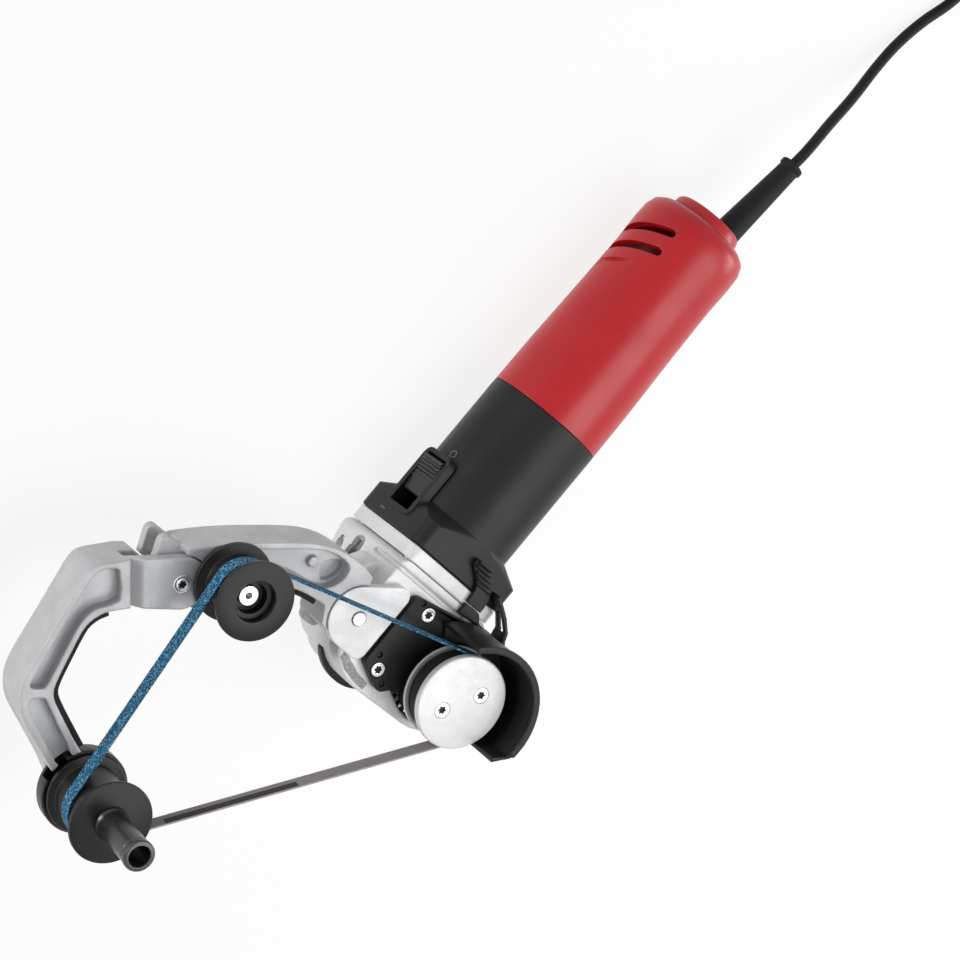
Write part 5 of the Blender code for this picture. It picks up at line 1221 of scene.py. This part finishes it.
    def _plug(self) -> Object:
        """Round two-pin plug with a ribbed grip, lying on the coil.

        Returns:
            The plug's body, with its pins as children.
        """
        bench = self.bench
        x, y, z = self.plug_line
        turn = Matrix.Rotation(pi, 4, "Z") @ ALONG_X
        start = -self.plug_tail
        profile = [(self.sleeve_hole, start), (4.2, start), (4.6, start + 0.6)]
        for k in range(5):
            profile += rib(4.7 + 0.3 * k, start + 2.0 + 2.4 * k, 1.3, 2.3, 0.6)
        body, rim = start + 15, self.plug_radius - 0.2
        face = body + self.plug_length
        profile += [(0.75 * self.plug_radius, body), (0.94 * self.plug_radius, body + 5),
                    (rim, body + 9), (rim, body + 22), (rim - 0.6, body + 23),
                    (rim - 0.6, body + 26), (rim, body + 27), (rim, face - 1), (rim - 1.0, face),
                    (0, face)]
        plug = bench.lathe("plug_body", profile, at(x, y, z, turn), 48)
        low, high = face - 1, face + self.pin_length
        shape = [(0, low), (1.7, low), (1.7, low + 9), (2.0, low + 9.3), (2.0, high - 1.4),
                 (1.2, high), (0, high)]
        pins = []
        for name, side in (("plug_pin_left", self.pin_side), ("plug_pin_right", -self.pin_side)):
            pin = bench.lathe(name, shape, at(x, y + side, z, turn), 24)
            pins.append(bench.fit(pin, "machine", STEEL))
        bench.fit(plug, "machine", RUBBER, "mains_plug")
        for pin in pins:
            pin.parent = plug
        return plug

    def _ties(self) -> list[Object]:
        """Two flat bands that hold the coil together.

        Returns:
            The bands.
        """
        bench = self.bench
        half = self.columns * self.radius + 0.5
        inner, outer = self.coil_radius - half, self.coil_radius + half
        low = FLOOR_Z + 0.15
        high = FLOOR_Z + self.gap + 2 * self.radius * self.layers + 0.6
        thick, reach = self.tie_thick, self.tie_width / 2
        band = rectangle(inner - thick, low - 0.05, outer + thick, high + thick)
        ties = []
        for name, turn in (("coil_tie_near", radians(180)), ("coil_tie_far", radians(-62))):
            upright = Matrix.Rotation(turn, 4, "Z") @ Matrix.Rotation(pi / 2, 4, "X")
            place = at(*self.coil, 0, upright)
            tie = bench.slab(name, band, -reach, reach, place, 0.6)
            hole = bench.slab("tie_hole", rectangle(inner, low, outer, high), -6.0, 6.0, place)
            bench.smooth(bench.cut(tie, hole))
            ties.append(bench.fit(tie, "machine", GREY_NYLON))
        return ties


@dataclass
class SandingBelt:
    """Endless abrasive belt in four runs, blue grit outside and woven cloth inside."""

    bench: Bench
    drive: Point3 = (0.0, -32.0, 24.6)
    idler: Point3 = (-26.8, 115.5, 16.0)
    roller: Point3 = (-159.2, 99.2, 17.0)
    gap: float = 0.3
    thick: float = 1.0
    level: float = 56.6
    width: float = 9.0
    rows: int = 4
    tape: float = 0.3
    splice_at: Point2 = (0.24, 0.8)
    handover: float = 0.66

    def tangent(self, here: Point3, there: Point3) -> float:
        """The turn at which the belt leaves one drum and meets the next."""
        dx, dy = there[0] - here[0], there[1] - here[1]
        return atan2(dy, dx) - pi / 2 + atan2(here[2] - there[2], hypot(dx, dy))

    def wrap(self, wheel: Point3, begin: float, end: float, count: int) -> Course:
        """The belt's way round a drum.

        Args:
            wheel: the drum's middle and radius.
            begin: the turn at which the belt meets it.
            end: the turn at which the belt leaves it.
            count: how many points to make.

        Returns:
            Points on the belt's inside with their outward directions.
        """
        while end < begin:
            end += 2 * pi
        turns = [begin + (end - begin) * k / (count - 1) for k in range(count)]
        return [(polar(wheel[2] + self.gap, t, wheel), polar(1.0, t)) for t in turns]

    def span(self, here: Point3, there: Point3, turn: float, count: int) -> Course:
        """The belt's straight way between two drums.

        Args:
            here: the first drum's middle and radius.
            there: the second drum's middle and radius.
            turn: the turn at which the belt leaves the one and meets the other.
            count: how many steps to make.

        Returns:
            Points on the belt's inside with their outward directions.
        """
        a, b = (Vector(polar(w[2] + self.gap, turn, w)) for w in (here, there))
        return [(tuple(a.lerp(b, k / count)), polar(1.0, turn)) for k in range(count + 1)]

    def strip(self, name: str, line: Course, low: float, width: float, thick: float,
              cloth_edge: bool = True) -> Object:
        """A belt run: a grid that is laid along a line and given its thickness.

        Args:
            name: the piece's name.
            line: points on the run's inside with their outward directions.
            low: level of its lower edge.
            width: its width.
            thick: its thickness.
            cloth_edge: whether its edges show the cloth.

        Returns:
            The new piece, with its length and width in millimetres as its UV map.
        """
        bench, columns = self.bench, len(line)
        bench.clear()
        bpy.ops.mesh.primitive_grid_add(x_subdivisions=columns - 1, y_subdivisions=self.rows,
                                        size=1, location=(0, 0, 0))
        piece = bench.named(name)
        lengths = [0.0]
        for (a, _), (b, _) in zip(line, line[1:]):
            lengths.append(lengths[-1] + hypot(b[0] - a[0], b[1] - a[1]))
        for index, vertex in enumerate(piece.data.vertices):
            point = line[index % columns][0]
            vertex.co = row(*point, low + width * (index // columns) / self.rows)
        layer = piece.data.uv_layers.active.data
        for loop in piece.data.loops:
            level, column = divmod(loop.vertex_index, columns)
            layer[loop.index].uv = (lengths[column], width * level / self.rows)
        bench.dress(piece, BLUE_GRIT)
        piece.data.materials.append(bench.paints.material(BELT_BACKING))
        bench.pick(piece)
        bench.open_mesh()
        if piece.data.polygons[0].normal.dot(Vector((*line[0][1], 0))) < 0:
            bpy.ops.mesh.flip_normals()
        bpy.ops.object.mode_set(mode="OBJECT")
        bench.modify(piece, "SOLIDIFY", thickness=thick * MM, offset=1.0, material_offset=1,
                     material_offset_rim=int(cloth_edge))
        return bench.smooth(piece, 40)

    def build(self) -> None:
        """Make the four runs and bake each into the row frame."""
        drive, idler, roller = self.drive, self.idler, self.roller
        first = self.tangent(drive, idler)
        second = self.tangent(idler, roller)
        third = self.tangent(roller, drive)
        feed = self.span(drive, idler, first, 24)
        work = self.span(idler, roller, second, 24)
        back = self.span(roller, drive, third, 30)
        halfway = round(self.handover * len(back))
        outgoing, incoming = back[:halfway + 1], back[halfway:]
        round_drive = self.wrap(drive, third, first, 40)[:-1]
        round_idler = self.wrap(idler, first, second, 28)[:-1]
        round_roller = self.wrap(roller, second, third, 36)
        runs = (
            ("belt_feed_run", round_drive + feed, feed, "machine", "arch_arm"),
            ("belt_work_run", round_idler + work[:-1] + round_roller, work, "arch_arm", "c_arm"),
            ("belt_return_run", outgoing, outgoing, "c_arm", "arch_arm"),
            ("belt_drive_run", incoming, incoming, "arch_arm", "machine"))
        low = self.level - self.width / 2
        for name, line, free, near, far in runs:
            piece = self.strip(name, line, low, self.width, self.thick, line is free)
            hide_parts("sanding_belt")
            self._bend(piece, near, far)
        self._splice(outgoing)

    def _bend(self, piece: Object, near: str, far: str) -> None:
        """Bake a run into the row frame and log the bodies that carry its ends.

        Args:
            piece: the run.
            near: the body that carries its beginning.
            far: the body that carries its end.
        """
        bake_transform(piece)
        LOG.info("%s bends between %s and %s", piece.name, near, far)

    def _splice(self, line: Course) -> None:
        """Tape over the belt's joint, on the inside of the return run.

        Args:
            line: the return run.
        """
        begin, end = (round(share * len(line)) for share in self.splice_at)
        inside = [((x - self.tape * dx, y - self.tape * dy), (dx, dy))
                  for (x, y), (dx, dy) in line[begin:end]]
        width = self.width / 2 - 0.4
        tape = self.strip("belt_splice", inside, self.level - 0.2, width, self.tape)
        self.bench.dress(tape, SPLICE)
        for face in tape.data.polygons:
            face.material_index = 0
        self._bend(tape, "c_arm", "arch_arm")


@dataclass
class MotorUnit:
    """Motor barrel, red rear cover, slide switch and their marks."""

    bench: Bench
    barrel: float = 35.0
    flare: float = 37.5
    on_mark: Point2 = (54.9, -11.0)
    bar: Point2 = (2.6, 0.5)
    off_mark: Point2 = (101.2, 4.8)
    circle: Point2 = (1.7, 2.5)
    proud: float = 0.25
    root: float = -0.4

    def build(self) -> None:
        """Make the motor's pieces."""
        self.bench.refine("motor_housing", BLACK_NYLON, 24, 0.4)
        self.bench.refine("rear_cover", RED_NYLON, 40)
        self.bench.refine("switch_slider", GREY_NYLON, 30, 0.12)
        self.bench.cast("bearing_shield", HEAD_ALLOY, 0.5, 3)
        self._marks()

    def _marks(self) -> None:
        """A raised bar for on and a raised ring for off."""
        x, z = self.on_mark
        long, wide = self.bar
        place = at(x, self.flare, z, ALONG_Y)
        mark = self.bench.slab("on_mark", rectangle(-long, -wide, long, wide), self.root,
                               self.proud, place, 0.12)
        self.bench.fit(mark, "machine", PALE_MARK)
        x, z = self.off_mark
        lean = Matrix.Rotation(atan2(z, hypot(self.barrel, z)), 4, "X")
        place = at(x, (self.barrel ** 2 - z ** 2) ** 0.5, z, lean @ ALONG_Y)
        profile = ring(*self.circle, self.root, self.proud, 0.1)
        mark = self.bench.lathe("off_mark", profile, place, 32, True)
        self.bench.fit(mark, "machine", PALE_MARK)


@dataclass
class GearHead:
    """Cast gear case with its plate, screws, drive pulley and guard."""

    bench: Bench
    plate_dimples: tuple[Point2, ...] = ((28.0, 11.8), (-8.2, 12.7), (-19.6, -0.6))
    plate_face: float = 41.0
    dimple: float = 1.7
    gusset: tuple[Point2, ...] = ((19.0, 36.0), (30.5, 36.0), (29.0, 39.8), (21.0, 45.5))
    gusset_levels: Point2 = (2.0, 20.0)
    bolt_at: Point3 = (20.6, 35.2, -11.8)
    bolt_radius: float = 2.7
    bolt_shank: float = 1.7
    pocket_radius: float = 5.9
    seal: tuple[Point2, ...] = ((-18.0, 28.0), (-22.4, 27.6), (-26.3, 20.5), (-28.4, 11.0),
                                (-28.8, 3.0), (-24.6, 3.0), (-23.4, 12.0), (-20.3, 21.0))
    seal_levels: Point2 = (34.6, 35.6)
    wall_centre: Point2 = (7.1, 5.0)
    wall_radius: float = 36.7
    ledge_centre: Point2 = (-6.0, 5.0)
    ledge_radius: float = 29.0
    ledge_foot: Point2 = (-29.0, -12.5)
    ledge_levels: Point2 = (9.0, 14.0)
    disc_thick: float = 4.0
    sink: float = 2.2
    hub: float = 16.0
    bore: float = 6.3

    def build(self) -> None:
        """Make the gear head's pieces."""
        bench = self.bench
        gusset = bench.slab("head_gusset", self.gusset, *self.gusset_levels)
        bench.cast("gear_head", HEAD_ALLOY, 0.75, 4, [gusset], [self._pocket()])
        bench.cast("arm_root", HEAD_ALLOY, 0.45, 4)
        self._bolt()
        self._side_strips()
        self._plate()
        for k in (1, 2, 3):
            head_form = ScrewForm(5.0, 2.4, 2.4, 2.6, lobed=False, forward=True)
            bench.screw(f"head_screw_{k}", head_form)
            bench.screw(f"plate_screw_{k}", ScrewForm(3.0, 2.1, 2.5))
        for k in (1, 2):
            bench.screw(f"disc_screw_{k}", ScrewForm(2.4, 1.8, 2.5, sunk=True))
        bench.refine("arm_pin", STEEL, rim=0.4)
        self._disc()
        self._drum()
        bench.cast("belt_guard", BLACK_NYLON, 0.5, 3)
        bench.cast("guard_latch", BLACK_NYLON, 0.3, 3)

    def _pocket(self) -> Object:
        """The hollow in the head's side that the clamping bolt lies in.

        Returns:
            The piece to cut out.
        """
        x, y, z = self.bolt_at
        radius = self.pocket_radius
        middle = (x + 9.6, z + 1.5)
        end = arc(middle, radius, -pi / 2, pi / 2, 9)
        outline = [(x + 1, z - 4.4), (x + 9.6, z - 4.4), *end, (x + 1, z + 7.4)]
        turned = [(b, a) for a, b in outline]
        return self.bench.slab("bolt_pocket", turned, y - 3.2, y + 8, ALONG_Y)

    def _bolt(self) -> None:
        """Ribbed clamping bolt in its pocket on the head's side."""
        radius, shank = self.bolt_radius, self.bolt_shank
        profile = [(0, 0.4), (radius - 0.5, 0.4)]
        for k in range(5):
            profile += rib(radius, 0.9 + 1.3 * k, 0.7, 1.2, 0.4)
        profile += [(shank, 7.6), (shank, 13.0), (0, 13.0)]
        piece = self.bench.lathe("clamp_bolt", profile, at(*self.bolt_at, ALONG_X), 32)
        self.bench.fit(piece, "machine", DARK_STEEL)

    def _side_strips(self) -> None:
        """Sealing strip beside the root plate and the black ledge under it."""
        strip = self.bench.slab("seal_strip", self.seal, *self.seal_levels, bevel=0.3)
        self.bench.fit(strip, "machine", SEAL)
        outer = arc(self.ledge_centre, self.ledge_radius, radians(134), radians(217), 15)
        inner = arc(self.wall_centre, self.wall_radius, pi, radians(145), 8)
        outline = [*outer, self.ledge_foot, *inner]
        ledge = self.bench.slab("side_ledge", outline, *self.ledge_levels, bevel=0.5)
        self.bench.fit(ledge, "machine", BLACK_NYLON)

    def _plate(self) -> None:
        """Black bearing plate with three small blind holes."""
        bench, face, hole = self.bench, self.plate_face, self.dimple
        piece = bench.round_edges(bench.copy_of("bearing_plate"), 0.4)
        drill = [(0, face - 2.2), (hole, face - 1.6), (hole, face - 0.3), (hole + 0.6, face + 0.3),
                 (0, face + 0.3)]
        for k, (x, y) in enumerate(self.plate_dimples):
            bench.cut(piece, bench.lathe(f"dimple_{k}", drill, at(x, y, 0), 24))
        bench.smooth(piece)
        bench.fit(piece, "machine", BLACK_COAT, "bearing_plate")

    def _disc(self) -> None:
        """Bright front disc of the drive pulley, sunk for its screws."""
        bench = self.bench
        rim, foot, front = bench.reach("drive_disc")
        back = front - self.disc_thick
        disc = [(0.05, front), (rim - 1.1, front), (rim - 0.5, front - 0.12),
                (rim - 0.12, front - 0.5), (rim, front - 1.1), (rim, back + 0.4), (rim - 0.4, back),
                (self.hub, back), (self.hub, foot), (self.bore, foot), (self.bore, back + 0.3),
                (0.05, back + 0.3)]
        sinks = []
        for k in (1, 2):
            screw = f"disc_screw_{k}"
            head = bench.reach(screw)[0]
            depth = foot - front - 1.0
            sink = [(0, 1.0), (head + 0.9, 1.0), (head + 0.3, -0.3), (self.sink, -2.7),
                    (self.sink, depth), (0, depth)]
            sinks.append(bench.lathe(f"disc_sink_{k}", sink, bench.axis(screw, front), 40))
        bench.turned("drive_disc", BARE_ALLOY, disc, 96, *sinks)

    def _drum(self) -> None:
        """Rubber drum of the drive pulley, grooved near its ends, and the flange behind it."""
        bench = self.bench
        rim, base, top = bench.reach("drive_drum")
        hole = self.hub + 0.3
        half = [(hole, 0.0), (rim - 0.6, 0.0), (rim, 0.5), (rim, 1.2), (rim - 0.5, 1.5),
                (rim - 0.5, 2.0), (rim, 2.3)]
        bench.turned("drive_drum", DRUM_RUBBER, both_ends(half, base, top), 96)
        rim, base, top = bench.reach("drive_flange")
        collar = self.hub - 3
        flange = [(self.bore, base), (collar, base), (collar, top - 1.8), (rim - 0.4, top - 1.8),
                  (rim, top - 1.4), (rim, top - 0.4), (rim - 0.4, top), (self.bore, top)]
        bench.turned("drive_flange", BARE_ALLOY, flange, 96)


@dataclass
class BeltArms:
    """The two cast arms with their felt, idler, end roller and knob."""

    bench: Bench
    belt_low: float = 52.1
    belt_high: float = 61.1
    idler_drum: float = 16.0
    idler_bore: float = 4.6
    recess: float = 11.2
    recess_floor: float = 60.5
    roller_drum: float = 17.0
    roller_bore: float = 5.4
    cup_gap: Point2 = (radians(68), radians(106))
    ear_crown: Point2 = (-33.0, 155.2)
    ear_radius: float = 3.7
    tail_level: float = 147.0
    tail_radius: float = 12.0
    ear_foot: tuple[Point2, ...] = ((-22.0, 131.0), (-30.0, 129.0), (-46.0, 140.0))
    ear_back: Point2 = (-46.0, 153.0)
    ears: tuple[Point3, ...] = ((27.1, 32.9, 0.0), (13.1, 18.9, 2.0))
    fork_gaps: tuple[Point3, ...] = ((-53.0, 26.4, 33.6), (-46.5, 19.0, 27.0), (-46.5, 12.4, 19.6))
    fork_floor: float = 151.0
    fork_end: Point2 = (-20.0, 170.0)
    washer: Point3 = (3.9, 4.9, 0.5)

    def build(self) -> None:
        """Make the arms' pieces."""
        bench = self.bench
        ears = [bench.slab(f"ear_plate_{k}", self.ear_outline(rise), low, high)
                for k, (low, high, rise) in enumerate(self.ears)]
        bench.cast("arch_arm", CAST_ALLOY, 0.55, 3, ears)
        gaps = []
        for k, (left, low, high) in enumerate(self.fork_gaps):
            outline = rectangle(left, self.fork_floor, *self.fork_end)
            gaps.append(bench.slab(f"fork_gap_{k}", outline, low, high))
        bench.cast("c_arm", CAST_ALLOY, 0.55, 3, removed=gaps)
        for node in ("arch_felt", "c_arm_felt"):
            bench.refine(node, FELT, rim=0.6)
        bench.screw("hinge_screw", ScrewForm(2.0, 3.4, 2.4))
        self._washer()
        self._idler()
        self._roller()
        self._cup()
        bench.refine("roller_axle", STEEL, rim=0.3)
        self._knob()

    def ear_outline(self, rise: float) -> list[Point2]:
        """An ear of the hinge: a round crown that runs out into a hollow tail.

        Args:
            rise: how much higher than the lowest ear it stands.

        Returns:
            The outline's points.
        """
        x, y = self.ear_crown
        crown = arc((x, y + rise), self.ear_radius, radians(112), 0.0, 7)
        hollow = (x + self.ear_radius + self.tail_radius, self.tail_level)
        tail = arc(hollow, self.tail_radius, pi, radians(255), 7)
        return [*crown, *tail, *self.ear_foot, (self.ear_back[0], self.ear_back[1] + rise)]

    def _washer(self) -> None:
        """Bright ring round the hinge screw."""
        bore, rim, thick = self.washer
        face = self.bench.reach("c_arm")[2]
        profile = ring(bore, rim, face - 0.4, face + thick, 0.2)
        place = self.bench.axis("hinge_screw")
        piece = self.bench.lathe("hinge_washer", profile, place, 48, True)
        self.bench.fit(piece, "c_arm", STEEL)

    def _idler(self) -> None:
        """Idler with rounded flanges and a stepped recess, on a bored axle."""
        rim, back, front = self.bench.reach("idler_wheel")
        bore, drum, recess, floor = self.idler_bore, self.idler_drum, self.recess, self.recess_floor
        half = [(rim - 0.8, 0.0), (rim - 0.2, 0.25), (rim, 0.8), (rim, 1.7), (rim - 0.2, 2.2),
                (rim - 0.8, 2.4), (drum + 1.4, 3.0), (drum + 0.4, 3.6), (drum, 4.8)]
        steps = [(recess + 0.5, front), (recess, front - 0.6), (recess - 0.3, front - 5.2),
                 (recess - 2.4, front - 5.6), (recess - 2.7, floor + 0.4), (recess - 3.1, floor)]
        profile = [(bore, back), *both_ends(half, back, front), *steps, (bore, floor)]
        self.bench.turned("idler_wheel", BLACK_WHEEL, profile, 96)
        head, base, top = self.bench.reach("idler_axle")
        stem, seat = bore - 0.4, floor + 0.3
        axle = [(0.05, base), (stem, base), (stem, seat), (head - 0.2, seat), (head, seat + 0.3),
                (head, top - 0.4), (head - 0.4, top), (1.9, top), (1.5, top - 0.4), (1.5, top - 6),
                (0.05, top - 6)]
        self.bench.turned("idler_axle", STEEL, axle, 48)

    def _roller(self) -> None:
        """Waisted end roller with a smaller flange at its back."""
        rim, back, front = self.bench.reach("end_roller")
        drum, bore, rear = self.roller_drum, self.roller_bore, rim - 0.8
        behind = [(bore, 0.0), (rear - 0.8, 0.0), (rear - 0.2, 0.25), (rear, 0.8), (rear, 1.8),
                  (rear - 0.2, 2.3), (rear - 0.8, 2.5), (drum + 2.0, 3.0), (drum + 0.9, 3.7),
                  (drum + 0.4, 5.4)]
        ahead = [(drum + 0.4, 5.6), (drum + 0.9, 4.0), (drum + 2.0, 3.3), (rim - 0.8, 2.8),
                 (rim - 0.2, 2.6), (rim, 2.0), (rim, 0.9), (rim - 0.25, 0.3), (rim - 0.9, 0.0),
                 (bore, 0.0)]
        profile = [*((r, back + d) for r, d in behind), (drum, self.belt_low - 1.6),
                   (drum, self.belt_high + 1.6), *((r, front - d) for r, d in ahead)]
        self.bench.turned("end_roller", BLACK_WHEEL, profile, 96)

    def _cup(self) -> None:
        """Open cup behind the end roller."""
        rim, base, top = self.bench.reach("roller_cup")
        hole, floor = self.roller_bore - 0.1, base + 3
        cup = [(hole, base), (rim - 2, base), (rim - 0.5, base + 0.6), (rim, base + 2),
               (rim, top - 0.6), (rim - 0.6, top), (rim - 1.6, top), (rim - 2.2, top - 0.6),
               (rim - 2.2, floor), (hole, floor)]
        begin, end = self.cup_gap
        window = [polar(rim - 4, begin), polar(rim + 4, begin), polar(rim + 4, end),
                  polar(rim - 4, end)]
        place = self.bench.axis("roller_cup")
        gap = self.bench.slab("cup_gap", window, floor + 0.4, top + 1, place)
        self.bench.turned("roller_cup", BLACK_WHEEL, cup, 96, gap)

    def _knob(self) -> None:
        """Round knob with a flared foot, a collar at its end and a bore."""
        foot, seat, end = self.bench.reach("roller_knob")
        grip, hole, floor = foot - 1.2, self.roller_bore - 0.1, seat + 19
        profile = [(hole, seat), (foot, seat), (foot, seat + 1.0), (foot - 0.3, seat + 1.5),
                   (grip + 0.35, seat + 2.6), (grip, seat + 4.2), (grip, end - 5.4),
                   (grip - 0.35, end - 5.0), (grip - 0.35, end - 4.4), (grip + 0.3, end - 3.9),
                   (grip + 0.4, end - 3.2), (grip + 0.4, end - 1.2), (grip + 0.1, end - 0.4),
                   (grip - 0.6, end), (hole + 0.9, end), (hole + 0.5, end - 0.5),
                   (hole + 0.5, floor), (hole, floor)]
        self.bench.turned("roller_knob", BLACK_KNOB, profile, 64)


@dataclass
class Insides:
    """Pieces inside the housings: they keep their solids and get their finishes."""

    bench: Bench
    finishes: dict[str, Finish] = field(default_factory=lambda: {finish.slot: finish for finish in (
        BLACK_NYLON, RED_NYLON, GREY_NYLON, CAST_ALLOY, BARE_ALLOY, BLACK_COAT, BLACK_WHEEL, STEEL,
        DARK_STEEL, CORE_STEEL, COPPER, RUBBER, FELT, BLUE_GRIT)})

    def build(self) -> None:
        """Dress every CAD node that still shows."""
        for node, piece in self.bench.nodes.items():
            if not piece.hide_render:
                self.bench.dress(piece, self.finishes[self.bench.slot_of[node]])
                LOG.info("%s keeps its solid", node)


def main() -> None:
    """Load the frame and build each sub-assembly."""
    logging.basicConfig(level=logging.INFO, format="%(message)s")
    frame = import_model()
    bench = Bench(frame, PaintShop())
    Studio().build()
    for kind in (MainsLead, SandingBelt, MotorUnit, GearHead, BeltArms, Insides):
        kind(bench).build()
        LOG.info("%s done", kind.__name__)


if __name__ == "__main__":
    main()
